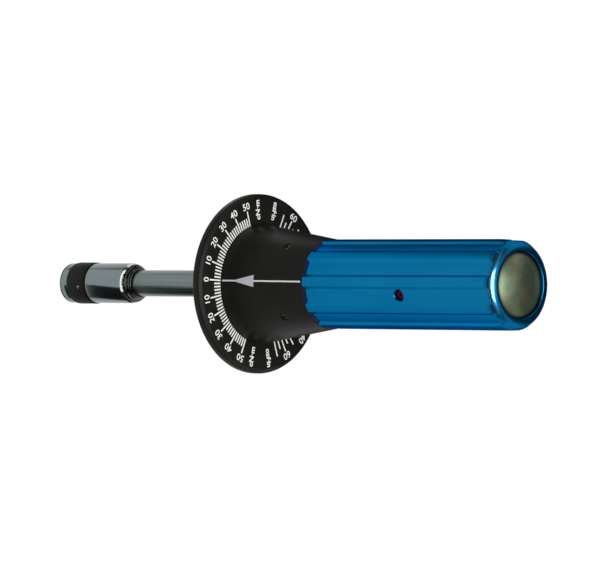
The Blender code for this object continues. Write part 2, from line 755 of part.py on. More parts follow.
def make_release_sleeve(tool):
    """Sprung sleeve that holds the ball in. Its land is tapered, so the ball rises as it draws back."""
    slope = BALL_TRAVEL / SLEEVE_TRAVEL
    land_front = BALL_X - SLEEVE_TRAVEL - LAND_MARGIN
    relief = SLEEVE_BORE + slope * (BALL_X - land_front) + LAND_CLEARANCE
    guide_end = land_front - LAND_RELIEF
    outline = [
        (SLEEVE_FRONT, SLEEVE_BORE),
        (guide_end, SLEEVE_BORE),
        (guide_end, relief),
        (land_front, relief),
        (BALL_X + LAND_MARGIN, SLEEVE_BORE + LAND_CLEARANCE),
        (SPRING_POCKET, SLEEVE_BORE + LAND_CLEARANCE),
        (SPRING_POCKET, SLEEVE_COUNTERBORE),
        (SLEEVE_END, SLEEVE_COUNTERBORE),
        (SLEEVE_END, SLEEVE_COUNTERBORE + SLEEVE_LIP),
        (SLEEVE_END - SLEEVE_BEVEL, SLEEVE_RADIUS),
        (GRIP_END + SHOULDER_END, SLEEVE_RADIUS),
        (GRIP_END + SHOULDER_FRONT, SLEEVE_RADIUS - SHOULDER_DROP),
        (GRIP_END + REST_GAP, GRIP_GROOVE_RADIUS),
        (GRIP_FRONT - REST_GAP, GRIP_GROOVE_RADIUS),
        (GRIP_FRONT - REST_GAP, NOSE_RADIUS),
        (SLEEVE_FRONT, NOSE_RADIUS),
    ]
    turned(tool, "release_sleeve", outline, "satin_steel", "release_sleeve")
    inner = GRIP_GROOVE_RADIUS + REST_GAP
    grip_outline = [
        (GRIP_FRONT, inner),
        (GRIP_FRONT, GRIP_RADIUS - GRIP_CHAMFER),
        (GRIP_FRONT + GRIP_CHAMFER, GRIP_RADIUS),
        (GRIP_END - GRIP_CHAMFER, GRIP_RADIUS),
        (GRIP_END, GRIP_RADIUS - GRIP_CHAMFER),
        (GRIP_END, inner),
    ]
    grip = turned(tool, "grip_ring", grip_outline, "black_rubber", "release_sleeve")
    start = radial(BALL_X, inner - GRIP_PIN_SUNK, BALL_ANGLE)
    past = radial(BALL_X, GRIP_RADIUS * 1.2, BALL_ANGLE)
    hole_radius = GRIP_PIN_RADIUS + REST_GAP
    cut(grip, bar(tool, "grip_pin_hole", start - (past - start), past, hole_radius, None, None))
    head = radial(BALL_X, GRIP_RADIUS - GRIP_PIN_SUNK, BALL_ANGLE)
    tip = radial(BALL_X, inner, BALL_ANGLE)
    bar(tool, "grip_pin", tip, head, GRIP_PIN_RADIUS, "satin_steel", "release_sleeve", sides=16)


def make_detent_ball(tool):
    """Steel ball that stands a little way into the bit socket."""
    work = bmesh.new()
    bmesh.ops.create_icosphere(work, subdivisions=2, radius=BALL_RADIUS)
    mesh = bpy.data.meshes.new("detent_ball")
    work.to_mesh(mesh)
    work.free()
    ball = tool.add("detent_ball", mesh, "spring_steel", "detent_ball")
    centre = radial(BALL_X, BALL_CENTRE, BALL_ANGLE)
    tool.body("detent_ball").location = centre


def make_release_spring(tool):
    """Open coil between the sleeve's pocket and the washer, with the washer and its retaining ring."""
    start = SPRING_POCKET + SPRING_WIRE + SPRING_SLACK
    end = SPRING_END - SPRING_WIRE
    per_turn = 14
    count = SPRING_TURNS * per_turn
    curve = bpy.data.curves.new("release_spring", "CURVE")
    curve.dimensions = "3D"
    curve.bevel_depth = SPRING_WIRE
    curve.bevel_resolution = 2
    curve.use_fill_caps = True
    spline = curve.splines.new("POLY")
    spline.points.add(count)
    for index, point in enumerate(spline.points):
        y, z = polar(SPRING_RADIUS, 360.0 * index / per_turn)
        point.co = (start + (end - start) * index / count, y, z, 1.0)
    tool.add("release_spring", curve, "spring_steel", "drive")
    bore = BARREL_RADIUS + REST_GAP
    washer_front = SPRING_END + SPRING_SLACK
    washer_end = CIRCLIP_FRONT - SPRING_SLACK
    radius = CHUCK_CIRCLIP_RADIUS
    ring(tool, "spring_washer", washer_front, washer_end, bore, radius, "satin_steel", "drive")
    split_ring(
        tool,
        "chuck_circlip",
        CIRCLIP_FRONT,
        CIRCLIP_THICK,
        BARREL_RADIUS - CIRCLIP_GROOVE + REST_GAP,
        CHUCK_CIRCLIP_RADIUS,
        CHUCK_CIRCLIP_OPENING,
        "drive",
    )


def main():
    clear_scene()
    tool = Assembly()
    reach = Vector((0.0, BARREL_RADIUS * 1.2, 0.0))
    middle = Vector((CHUCK_PIN_X, 0.0, 0.0))
    pin_radius = CHUCK_PIN_RADIUS + REST_GAP
    pin_hole = bar(tool, "chuck_pin_hole", middle - reach, middle + reach, pin_radius, None, None)
    make_handle(tool)
    make_end_plug(tool)
    make_pointer_skirt(tool)
    make_bearing_housing(tool)
    make_bushes(tool)
    make_anchor(tool)
    make_shaft(tool, pin_hole)
    make_torsion_bar(tool, pin_hole)
    make_stop_flange(tool)
    make_dial(tool)
    make_chuck_body(tool, pin_hole)
    make_tail_ring(tool)
    make_release_sleeve(tool)
    make_detent_ball(tool)
    make_release_spring(tool)


main()
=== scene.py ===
"""Looks of the dial-indicating torque screwdriver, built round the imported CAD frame."""

import math

import bmesh
import bpy
import numpy as np
from mathutils import Matrix, Vector


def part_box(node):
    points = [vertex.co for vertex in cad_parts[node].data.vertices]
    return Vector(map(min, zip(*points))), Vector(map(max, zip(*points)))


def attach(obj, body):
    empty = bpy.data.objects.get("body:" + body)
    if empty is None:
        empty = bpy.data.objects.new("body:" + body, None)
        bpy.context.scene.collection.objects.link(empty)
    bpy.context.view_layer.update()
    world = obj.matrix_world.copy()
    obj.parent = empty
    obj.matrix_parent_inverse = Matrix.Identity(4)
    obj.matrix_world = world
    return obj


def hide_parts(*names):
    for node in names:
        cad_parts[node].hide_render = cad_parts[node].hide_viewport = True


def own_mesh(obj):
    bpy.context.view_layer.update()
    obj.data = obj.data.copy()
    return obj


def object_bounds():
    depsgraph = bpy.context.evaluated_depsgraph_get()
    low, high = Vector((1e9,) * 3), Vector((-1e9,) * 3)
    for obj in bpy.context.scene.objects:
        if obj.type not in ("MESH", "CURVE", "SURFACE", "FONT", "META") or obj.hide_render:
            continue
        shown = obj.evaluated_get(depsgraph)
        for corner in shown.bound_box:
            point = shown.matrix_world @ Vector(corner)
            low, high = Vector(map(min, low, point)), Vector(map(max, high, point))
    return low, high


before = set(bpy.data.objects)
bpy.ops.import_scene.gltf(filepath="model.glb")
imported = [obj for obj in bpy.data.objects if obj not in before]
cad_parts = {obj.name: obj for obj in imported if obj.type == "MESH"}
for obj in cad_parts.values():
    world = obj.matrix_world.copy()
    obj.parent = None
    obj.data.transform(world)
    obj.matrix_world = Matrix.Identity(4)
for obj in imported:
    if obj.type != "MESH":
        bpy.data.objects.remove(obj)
cad_low, cad_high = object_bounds()

# ---------------- dimensions, metres and degrees
EASE = 0.00012
GAP = 0.00015
FINE = 160

DIAL_LOW, DIAL_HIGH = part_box("dial")
DIAL_FACE = DIAL_HIGH.x
DIAL_BACK = DIAL_LOW.x
DIAL_RADIUS = DIAL_HIGH.z
DIAL_EDGE = 0.0006
DIAL_RIM_DEPTH = 0.0011
DIAL_RIM_CHAMFER = 0.0016

SHAFT_LOW, SHAFT_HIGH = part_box("drive_shaft")
SHAFT_RADIUS = SHAFT_HIGH.z

SKIRT_LOW, SKIRT_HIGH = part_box("pointer_skirt")
SKIRT_BASE = SKIRT_LOW.x
SKIRT_BASE_RADIUS = SKIRT_HIGH.z
SKIRT_SLOPE_END = 0.1258
SKIRT_END_RADIUS = 0.01725
SKIRT_SCREW_X = 0.1143
SKIRT_SCREW_RADIUS = 0.0014
SKIRT_SCREW_SUNK = 0.0003
SEAM_NEAR, SEAM_FAR = 0.0001, 0.0004

GRIP_LOW, GRIP_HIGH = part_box("handle")
GRIP_FRONT = GRIP_LOW.x
GRIP_END = GRIP_HIGH.x
CREST = 0.0172
FLUTE_FLOOR = 0.01635
FLUTES = 10
CREST_HALF_ANGLE = 4.8
FLANK_HALF_ANGLE = 10.2
SEAT_SLOPE = 0.78
SEAT_INNER = 0.0152
BORE = 0.01105
END_ROUND = 0.0042
ROUND_LEAD = 0.0030
RIM_ROUND = 0.0004
RIDGE_BLEND = 0.0006
LIP_BEVEL = 0.00034
PLUG_SEAT = 0.21585
ANCHOR_HOLE = 0.00215

# Clear coat on the grip's end, kept to the pointer's side as a painted highlight: past the start of the
# rounding, before the rim, and height over the axis
COAT_START, COAT_FULL = 0.0022, 0.0028
COAT_GONE, COAT_FADES = 0.0002, 0.0006
HIGHLIGHT_COAT_LIFT = (0.0095, 0.0125)

PLUG_LOW, PLUG_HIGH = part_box("end_plug")
PLUG_RADIUS = PLUG_HIGH.z
DOME_RISE = 0.0031
# Painted shade round the plug: where it starts and where it is full, measured in from the plug's rim
PLUG_SHADE_FROM, PLUG_SHADE_TO = 0.0016, 0.0002
PLUG_SHOULDER, PLUG_FOOT = 0.2160, 0.0109

ANCHOR_X = 0.1745
ANCHOR_ANGLE = -18.0
ANCHOR_TIP, ANCHOR_HEAD = 0.0042, 0.0152
ANCHOR_RADIUS, ANCHOR_KEY = 0.0019, 0.3
SINK_UNDER, SINK_OVER, SINK_FLARE = 0.0006, 0.0004, 0.0008
PIN_ANGLE = -15.0
# Length over which the sleeve's bright lip, partly a painted highlight, blends in
HIGHLIGHT_BLEND = 0.0002

# How far printed marks stand over the surface they lie on, and reach under it
PRINT_HEIGHT = 0.00004
PRINT_SUNK = 0.00002

# ---------------- mesh helpers


def add_object(name, data):
    """A new object in the scene."""
    item = bpy.data.objects.new(name, data)
    bpy.context.scene.collection.objects.link(item)
    return item


def radial(x, radius, angle):
    """Point at an angle, in degrees, from the pointer's side of the tool towards +Y."""
    turn = math.radians(angle)
    return Vector((x, radius * math.sin(turn), radius * math.cos(turn)))


def eased(outline, size, closed):
    """The outline with each corner rounded off by a short curve."""
    steps = 3
    points = [np.array(p, float) for p in outline]
    count = len(points)
    result = []
    for index, corner in enumerate(points):
        if not closed and index in (0, count - 1):
            result.append(corner)
            continue
        before = points[index - 1] - corner
        after = points[(index + 1) % count] - corner
        reach_before, reach_after = np.linalg.norm(before), np.linalg.norm(after)
        cosine = before @ after / (reach_before * reach_after)
        if cosine < -0.995:
            result.append(corner)
            continue
        cut_size = min(size, 0.45 * reach_before, 0.45 * reach_after)
        start = corner + before / reach_before * cut_size
        end = corner + after / reach_after * cut_size
        for step in range(steps + 1):
            t = step / steps
            result.append((1 - t) ** 2 * start + 2 * t * (1 - t) * corner + t**2 * end)
    return [tuple(p) for p in result]


def finish_mesh(work, name, sharp=35.0):
    """Mesh from a bmesh, with coinciding points joined, faces outward and edges sharp by angle."""
    bmesh.ops.remove_doubles(work, verts=work.verts, dist=1e-7)
    bmesh.ops.recalc_face_normals(work, faces=work.faces)
    mesh = bpy.data.meshes.new(name)
    work.to_mesh(mesh)
    work.free()
    mesh.shade_smooth()
    mesh.set_sharp_from_angle(angle=math.radians(sharp))
    return mesh


def skin(name, columns, ring=True, sharp=35.0):
    """Closed skin over columns of (x, radius) points, one column for each angle round the tool."""
    work = bmesh.new()
    count = len(columns)
    rows = []
    for index, column in enumerate(columns):
        angle = 360.0 * index / count
        rows.append([work.verts.new(radial(x, r, angle)) for x, r in column])
    length = len(rows[0])
    last = length if ring else length - 1
    for index, row in enumerate(rows):
        following = rows[(index + 1) % count]
        for step in range(last):
            ahead = (step + 1) % length
            work.faces.new((row[step], row[ahead], following[ahead], following[step]))
    return finish_mesh(work, name, sharp)


def lathe(name, outline, sides, ease=EASE):
    """Solid of revolution about the tool's axis, whole rings or with both ends on the axis."""
    ring = all(point[1] > 0 for point in outline)
    shape = eased(outline, ease, ring)
    return skin(name, [shape] * sides, ring)


def rod(name, start, end, radius, sides=32, far_radius=None):
    """Straight round or many-sided bar between two points."""
    start, end = Vector(start), Vector(end)
    work = bmesh.new()
    turn = (end - start).to_track_quat("Z", "Y").to_matrix().to_4x4()
    bmesh.ops.create_cone(
        work,
        cap_ends=True,
        segments=sides,
        radius1=radius,
        radius2=radius if far_radius is None else far_radius,
        depth=(end - start).length,
        matrix=Matrix.Translation((start + end) / 2) @ turn,
    )
    return finish_mesh(work, name)


def carve(mesh, cutters, sharp=35.0):
    """The mesh less each cutter mesh."""
    piece = add_object(mesh.name, mesh)
    helpers = []
    for cutter in cutters:
        helper = add_object(cutter.name, cutter)
        helpers.append(helper)
        boolean = piece.modifiers.new(cutter.name, "BOOLEAN")
        boolean.operation = "DIFFERENCE"
        boolean.solver = "EXACT"
        boolean.object = helper
    bpy.context.view_layer.update()
    evaluated = piece.evaluated_get(bpy.context.evaluated_depsgraph_get())
    result = bpy.data.meshes.new_from_object(evaluated)
    for item in [piece, *helpers]:
        bpy.data.objects.remove(item, do_unlink=True)
    result.name = mesh.name
    result.shade_smooth()
    result.set_sharp_from_angle(angle=math.radians(sharp))
    return result


def place(mesh, material, body, slot, *nodes):
    """Shows a mesh on a CAD body, in place of the named CAD nodes."""
    piece = add_object(mesh.name, mesh)
    mesh.materials.clear()
    mesh.materials.append(material)
    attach(piece, body)
    if nodes:
        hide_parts(*nodes)
    return piece


# ---------------- materials


def smooth_ramp(tree, source, start, end, low=0.0, high=1.0):
    """A value that runs smoothly from low to high as the source goes from start to end."""
    node = tree.nodes.new("ShaderNodeMapRange")
    node.interpolation_type = "SMOOTHSTEP"
    node.inputs["From Min"].default_value = start
    node.inputs["From Max"].default_value = end
    node.inputs["To Min"].default_value = low
    node.inputs["To Max"].default_value = high
    tree.links.new(source, node.inputs["Value"])
    return node.outputs["Result"]


class Surface:
    """A Principled material with helpers for its procedural detail, in the tool's own metres."""

    def __init__(self, name, metallic, roughness, specular=0.5):
        self.material = bpy.data.materials.new(name)
        self.material.use_nodes = True
        self.tree = self.material.node_tree
        self.shader = self.tree.nodes["Principled BSDF"]
        self.shader.inputs["Metallic"].default_value = metallic
        self.shader.inputs["Roughness"].default_value = roughness
        self.shader.inputs["Specular IOR Level"].default_value = specular
        self.place = self.tree.nodes.new("ShaderNodeTexCoord").outputs["Object"]
        self.normal = None

    def link(self, source, target):
        self.tree.links.new(source, target)

    def noise(self, scale, detail=3.0):
        """Noise with a scale for each axis, in features for each metre."""
        mapping = self.tree.nodes.new("ShaderNodeMapping")
        mapping.inputs["Scale"].default_value = scale
        self.link(self.place, mapping.inputs["Vector"])
        noise = self.tree.nodes.new("ShaderNodeTexNoise")
        noise.inputs["Scale"].default_value = 1.0
        noise.inputs["Detail"].default_value = detail
        noise.inputs["Roughness"].default_value = 0.55
        self.link(mapping.outputs["Vector"], noise.inputs["Vector"])
        return noise.outputs["Fac"]

    def spread(self, source, low, high):
        """The middle of a noise stretched to run from low to high."""
        node = self.tree.nodes.new("ShaderNodeMapRange")
        node.inputs["From Min"].default_value = 0.3
        node.inputs["From Max"].default_value = 0.7
        node.inputs["To Min"].default_value = low
        node.inputs["To Max"].default_value = high
        self.link(source, node.inputs["Value"])
        return node.outputs["Result"]

    def product(self, a, b):
        node = self.tree.nodes.new("ShaderNodeMath")
        node.operation = "MULTIPLY"
        self.link(a, node.inputs[0])
        self.link(b, node.inputs[1])
        return node.outputs["Value"]

    def ramp_along(self, start, end, axis="X"):
        """Rises from nought to one between two places along the tool, or along another axis."""
        split = self.tree.nodes.new("ShaderNodeSeparateXYZ")
        self.link(self.place, split.inputs["Vector"])
        return smooth_ramp(self.tree, split.outputs[axis], start, end)

    def ramp_out(self, start, end):
        """Rises from nought to one between two distances from the tool's axis."""
        flat = self.tree.nodes.new("ShaderNodeVectorMath")
        flat.operation = "MULTIPLY"
        flat.inputs[1].default_value = (0.0, 1.0, 1.0)
        self.link(self.place, flat.inputs[0])
        length = self.tree.nodes.new("ShaderNodeVectorMath")
        length.operation = "LENGTH"
        self.link(flat.outputs["Vector"], length.inputs[0])
        return smooth_ramp(self.tree, length.outputs["Value"], start, end)

    def colour(self, source, dark, light):
        """Base colour that runs between two colours with a noise."""
        mix = self.tree.nodes.new("ShaderNodeMix")
        mix.data_type = "RGBA"
        mix.inputs["A"].default_value = (*dark, 1.0)
        mix.inputs["B"].default_value = (*light, 1.0)
        self.link(self.spread(source, 0.0, 1.0), mix.inputs["Factor"])
        self.link(mix.outputs["Result"], self.shader.inputs["Base Color"])
        return mix.outputs["Result"]

    def mixed(self, under, tint, share):
        """A colour that gives way to a tint."""
        mix = self.tree.nodes.new("ShaderNodeMix")
        mix.data_type = "RGBA"
        mix.inputs["B"].default_value = (*tint, 1.0)
        self.link(under, mix.inputs["A"])
        self.link(share, mix.inputs["Factor"])
        return mix.outputs["Result"]

    def rough(self, source, low, high):
        self.link(self.spread(source, low, high), self.shader.inputs["Roughness"])

    def bump(self, source, height):
        """Relief of a given height in metres. Later calls add to earlier ones."""
        node = self.tree.nodes.new("ShaderNodeBump")
        node.inputs["Strength"].default_value = 1.0
        node.inputs["Distance"].default_value = height
        self.link(source, node.inputs["Height"])
        if self.normal is not None:
            self.link(self.normal, node.inputs["Normal"])
        self.normal = node.outputs["Normal"]
        self.link(self.normal, self.shader.inputs["Normal"])


def blue_anodised():
    """Satin blue aluminium with fine drawn lines, and a clear coat on the pointer's side of its end, kept to
    that side as a painted highlight.
    """
    surface = Surface("blue_anodised", 1.0, 0.40)
    lines = surface.noise((18.0, 3200.0, 3200.0), detail=4.0)
    cloud = surface.noise((22.0, 60.0, 60.0), detail=2.0)
    grain = surface.noise((9000.0, 9000.0, 9000.0), detail=2.0)
    surface.colour(cloud, (0.0055, 0.158, 0.345), (0.0075, 0.178, 0.375))
    surface.shader.inputs["Specular Tint"].default_value = (0.03, 0.22, 0.44, 1.0)
    surface.rough(lines, 0.26, 0.36)
    surface.bump(lines, 0.000004)
    surface.bump(grain, 0.000003)
    round_x = GRIP_END - END_ROUND
    rising = surface.ramp_along(round_x + COAT_START, round_x + COAT_FULL)
    falling = surface.ramp_along(GRIP_END - COAT_GONE, GRIP_END - COAT_FADES)
    # Painted highlight: the coat lies only on the pointer's side of the end, where it reflects the key light
    # as a white crescent
    highlight_side = surface.ramp_along(*HIGHLIGHT_COAT_LIFT, "Z")
    highlight_gloss = surface.product(surface.product(rising, falling), highlight_side)
    surface.link(highlight_gloss, surface.shader.inputs["Coat Weight"])
    surface.shader.inputs["Coat Roughness"].default_value = 0.09
    surface.shader.inputs["Coat IOR"].default_value = 1.9
    return surface.material


def black_anodised(name="black_anodised"):
    """Matt black finish with a very fine grain and faint turning marks."""
    surface = Surface(name, 0.0, 0.42, specular=0.12)
    turning = surface.noise((5200.0, 160.0, 160.0), detail=2.0)
    grain = surface.noise((7000.0, 7000.0, 7000.0), detail=3.0)
    cloud = surface.noise((120.0, 120.0, 120.0), detail=2.0)
    black = surface.colour(cloud, (0.0070, 0.0074, 0.0058), (0.0105, 0.0110, 0.0088))
    surface.rough(grain, 0.36, 0.50)
    surface.bump(turning, 0.000003)
    surface.bump(grain, 0.000005)
    return surface, black


def collar_black():
    """The black finish, with a wine red painted edge highlight along the collar's rear edge, and violet on
    the seat behind it as a painted reflection of the blue grip.
    """
    surface, black = black_anodised("collar_black")
    edge = surface.ramp_along(SKIRT_SLOPE_END - SEAM_FAR, SKIRT_SLOPE_END - SEAM_NEAR)
    seat = surface.ramp_along(SKIRT_SLOPE_END + SEAM_NEAR, SKIRT_SLOPE_END + SEAM_FAR)
    # Painted highlight along the rear edge, and a painted reflection of the blue grip on the seat behind it
    red = surface.mixed(black, (0.020, 0.007, 0.006), edge)
    violet = surface.mixed(red, (0.010, 0.014, 0.050), seat)
    surface.link(violet, surface.shader.inputs["Base Color"])
    return surface.material


def satin_steel(name, tone, low, high, drawn=False, highlight_from=None):
    """Steel with fine turned rings or drawn lines, and much brighter past a given place: a polished lip whose
    brightness is partly a painted highlight.
    """
    surface = Surface(name, 1.0, 0.3)
    marks = surface.noise((14.0, 2600.0, 2600.0) if drawn else (3000.0, 40.0, 40.0), detail=1.0)
    contrast = 0.16 if drawn else 0.05
    dark, light = [[share * part for part in tone] for share in (1 - contrast, 1 + contrast)]
    plain = surface.colour(marks, dark, light)
    if highlight_from is not None:
        # Past the given place: a polished lip, much brighter, partly a painted highlight
        polished_highlight = surface.mixed(plain, (0.62, 0.66, 0.66), surface.ramp_along(highlight_from, highlight_from + HIGHLIGHT_BLEND))
        surface.link(polished_highlight, surface.shader.inputs["Base Color"])
    surface.rough(marks, low, high)
    surface.bump(marks, 0.0000005)
    return surface.material


def black_rubber():
    surface = Surface("black_rubber", 0.0, 0.6, specular=0.15)
    grain = surface.noise((5200.0, 5200.0, 5200.0), detail=4.0)
    surface.colour(grain, (0.0060, 0.0055, 0.0050), (0.0120, 0.0105, 0.0095))
    surface.rough(grain, 0.48, 0.66)
    surface.bump(grain, 0.000012)
    return surface.material


def olive_zinc():
    """Yellow-passivated zinc: olive, with a slight drift to violet and green, concentric marks and painted
    shade towards its edge.
    """
    surface = Surface("olive_zinc", 0.92, 0.34)
    drift = surface.noise((140.0, 170.0, 170.0), detail=3.0)
    marks = surface.noise((1500.0, 1500.0, 1500.0), detail=3.0)
    olive = surface.colour(drift, (0.095, 0.165, 0.095), (0.200, 0.195, 0.125))
    # Painted shade: the dome darkens towards its edge, where it sits down in the grip's end
    edge = surface.ramp_out(PLUG_RADIUS - PLUG_SHADE_FROM, PLUG_RADIUS - PLUG_SHADE_TO)
    shaded_rim = surface.mixed(olive, (0.050, 0.045, 0.030), edge)
    surface.link(shaded_rim, surface.shader.inputs["Base Color"])
    surface.rough(marks, 0.34, 0.48)
    surface.bump(marks, 0.000010)
    return surface.material


def ink(name, scale, dark, light):
    """Matt printing ink with a fine grain."""
    surface = Surface(name, 0.0, 0.5, specular=0.3)
    grain = surface.noise((scale, scale, scale), detail=2.0)
    surface.colour(grain, dark, light)
    surface.rough(grain, 0.45, 0.6)
    return surface.material


def metal(name, dark, light, low, high, turned=True):
    """Plain metal, with turned rings or an even grain."""
    surface = Surface(name, 1.0, low)
    scale = (5200.0, 60.0, 60.0) if turned else (3000.0, 3000.0, 3000.0)
    grain = surface.noise(scale, detail=3.0)
    surface.colour(grain, dark, light)
    surface.rough(grain, low, high)
    surface.bump(grain, 0.000003)
    return surface.material


BLUE = blue_anodised()
BLACK = black_anodised()[0].material
COLLAR = collar_black()
STEEL = satin_steel("satin_steel", (0.195, 0.235, 0.235), 0.15, 0.22)
# The sleeve's rear lip is polished and brighter, partly a painted highlight
SLEEVE_STEEL = satin_steel("sleeve_steel", (0.190, 0.235, 0.240), 0.11, 0.17, highlight_from=0.0198)
SHAFT_STEEL = satin_steel("shaft_steel", (0.165, 0.205, 0.200), 0.24, 0.32, drawn=True)
POLISHED = satin_steel("polished_steel", (0.70, 0.74, 0.74), 0.10, 0.18)
DARK_STEEL = satin_steel("dark_steel", (0.150, 0.140, 0.140), 0.12, 0.20)
RUBBER = black_rubber()
OLIVE = olive_zinc()
PRINT = ink("white_print", 6000.0, (0.72, 0.73, 0.70), (0.82, 0.83, 0.80))
ARROW = ink("arrow_print", 5000.0, (0.50, 0.50, 0.56), (0.60, 0.60, 0.66))
SPRING = metal("spring_wire", (0.26, 0.26, 0.27), (0.38, 0.38, 0.39), 0.25, 0.4, turned=False)
SCREW = metal("dark_screw", (0.035, 0.035, 0.036), (0.06, 0.06, 0.062), 0.3, 0.45, turned=False)
SEALED = metal("sealed_screw", (0.045, 0.005, 0.016), (0.080, 0.010, 0.030), 0.35, 0.5, turned=False)
BRONZE = metal("bronze", (0.46, 0.29, 0.12), (0.58, 0.38, 0.17), 0.3, 0.42)
ALLOY = metal("machined_alloy", (0.62, 0.63, 0.64), (0.76, 0.77, 0.78), 0.28, 0.4)

# ---------------- grip, plug and skirt


def smooth_step(t):
    t = min(1.0, max(0.0, t))
    return t * t * (3 - 2 * t)


def flute_radius(angle):
    """Radius of the grip's fluted section: ridges every 36 degrees, the first one under the pointer."""
    period = 360.0 / FLUTES
    offset = abs((angle + period / 2) % period - period / 2)
    rise = 1.0 - smooth_step((offset - CREST_HALF_ANGLE) / (FLANK_HALF_ANGLE - CREST_HALF_ANGLE))
    return FLUTE_FLOOR + (CREST - FLUTE_FLOOR) * rise


def soft_min(a, b, width):
    """The lesser of two lengths, with the change between them rounded over a width."""
    blend = max(0.0, width - abs(a - b)) / width
    return min(a, b) - blend * blend * width / 4


def grip_column(angle):
    """The grip's section at an angle: bore, seat, flute or ridge, rounded end and plug bore."""
    outer = flute_radius(angle)
    shoulder = GRIP_FRONT + (CREST - SEAT_INNER) / SEAT_SLOPE
    lip = GRIP_FRONT + (CREST - outer) / SEAT_SLOPE
    bevel = LIP_BEVEL
    column = [
        (shoulder, BORE),
        (shoulder, SEAT_INNER),
        (lip + 0.5 * bevel, outer - bevel),
        (lip + 0.6 * bevel, outer - 0.4 * bevel),
        (lip + bevel, outer - 0.1 * bevel),
        (lip + 1.6 * bevel, outer),
    ]
    round_x = GRIP_END - END_ROUND
    round_radius = CREST - END_ROUND
    column.append((round_x - ROUND_LEAD, outer))
    steps = 20
    for step in range(steps + 1):
        turn = math.radians(90.0 * step / steps)
        turned_radius = round_radius + END_ROUND * math.cos(turn)
        radius = soft_min(outer, turned_radius, RIDGE_BLEND)
        column.append((round_x + END_ROUND * math.sin(turn), radius))
    plug_bore = PLUG_RADIUS + GAP
    rim_centre = plug_bore + RIM_ROUND
    rim_steps = 6
    for step in range(1, rim_steps + 1):
        turn = math.radians(90.0 * step / rim_steps)
        along = GRIP_END - RIM_ROUND * (1 - math.cos(turn))
        column.append((along, rim_centre - RIM_ROUND * math.sin(turn)))
    column += [(PLUG_SEAT, plug_bore), (PLUG_SEAT, BORE)]
    return column


def make_grip():
    sides = 720
    columns = [grip_column(360.0 * index / sides) for index in range(sides)]
    grip = skin("grip", columns, sharp=40.0)
    inner = radial(ANCHOR_X, BORE * 0.5, ANCHOR_ANGLE)
    outer = radial(ANCHOR_X, CREST * 1.1, ANCHOR_ANGLE)
    sink_floor = radial(ANCHOR_X, FLUTE_FLOOR - SINK_UNDER, ANCHOR_ANGLE)
    sink_top = radial(ANCHOR_X, FLUTE_FLOOR + SINK_OVER, ANCHOR_ANGLE)
    hole = rod("anchor_hole", inner, outer, ANCHOR_HOLE, 64)
    sink = rod("anchor_sink", sink_floor, sink_top, ANCHOR_HOLE - 0.0001, 64, ANCHOR_HOLE + SINK_FLARE)
    grip = carve(grip, [hole, sink], sharp=40.0)
    place(grip, BLUE, "handle", "blue_aluminium", "handle")
    tip = radial(ANCHOR_X, ANCHOR_TIP, ANCHOR_ANGLE)
    head = radial(ANCHOR_X, ANCHOR_HEAD, ANCHOR_ANGLE)
    looks = (SEALED, "handle", "dark_screw", "anchor_screw")
    screw_with_key("anchor_fine", tip, head, ANCHOR_RADIUS, *looks, ANCHOR_KEY)


def make_end_plug():
    """Domed plug with an eased edge, a little below the grip's rounding."""
    edge_x = PLUG_HIGH.x - DOME_RISE
    steps = 24
    dome = []
    for step in range(steps):
        share = step / steps
        dome.append((edge_x + DOME_RISE * (1 - share**2), PLUG_RADIUS * share))
    proud, inset, drop = 0.0001, 0.00012, 0.00015
    edge = [(edge_x + proud, PLUG_RADIUS - inset), (edge_x - drop, PLUG_RADIUS)]
    back = [
        (PLUG_SHOULDER, PLUG_RADIUS),
        (PLUG_SHOULDER, PLUG_FOOT),
        (PLUG_LOW.x, PLUG_FOOT),
        (PLUG_LOW.x, 0.0),
    ]
    plug = skin("end_plug_dome", [dome + edge + back] * FINE, ring=False)
    place(plug, OLIVE, "handle", "olive_zinc", "end_plug")


def skirt_radius(x):
    share = (x - SKIRT_BASE) / (SKIRT_SLOPE_END - SKIRT_BASE)
    return SKIRT_BASE_RADIUS + (SKIRT_END_RADIUS - SKIRT_BASE_RADIUS) * share


def screw_with_key(name, tip, head, radius, material, body, slot, node, key=0.55):
    """Grub screw with a chamfered head and a hexagonal recess."""
    tip, head = Vector(tip), Vector(head)
    out = (head - tip).normalized()
    chamfer = 0.2 * radius
    work = bmesh.new()
    turn = out.to_track_quat("Z", "Y").to_matrix()
    length = (head - tip).length
    outline = [
        (0.0, 0.0),
        (0.0, radius - chamfer),
        (chamfer, radius),
        (length - chamfer, radius),
        (length, radius - chamfer),
        (length, 0.0),
    ]
    sides = 40
    rows = []
    for index in range(sides):
        angle = 2 * math.pi * index / sides
        row = []
        for along, reach in outline:
            local = Vector((reach * math.cos(angle), reach * math.sin(angle), along))
            row.append(work.verts.new(tip + turn @ local))
        rows.append(row)
    for index, row in enumerate(rows):
        following = rows[(index + 1) % sides]
        for step in range(len(outline) - 1):
            work.faces.new((row[step], row[step + 1], following[step + 1], following[step]))
    body_mesh = finish_mesh(work, name)
    recess = rod(name + "_key", head - out * radius * 1.2, head + out * radius, radius * key, 6)
    place(carve(body_mesh, [recess]), material, body, slot, node)


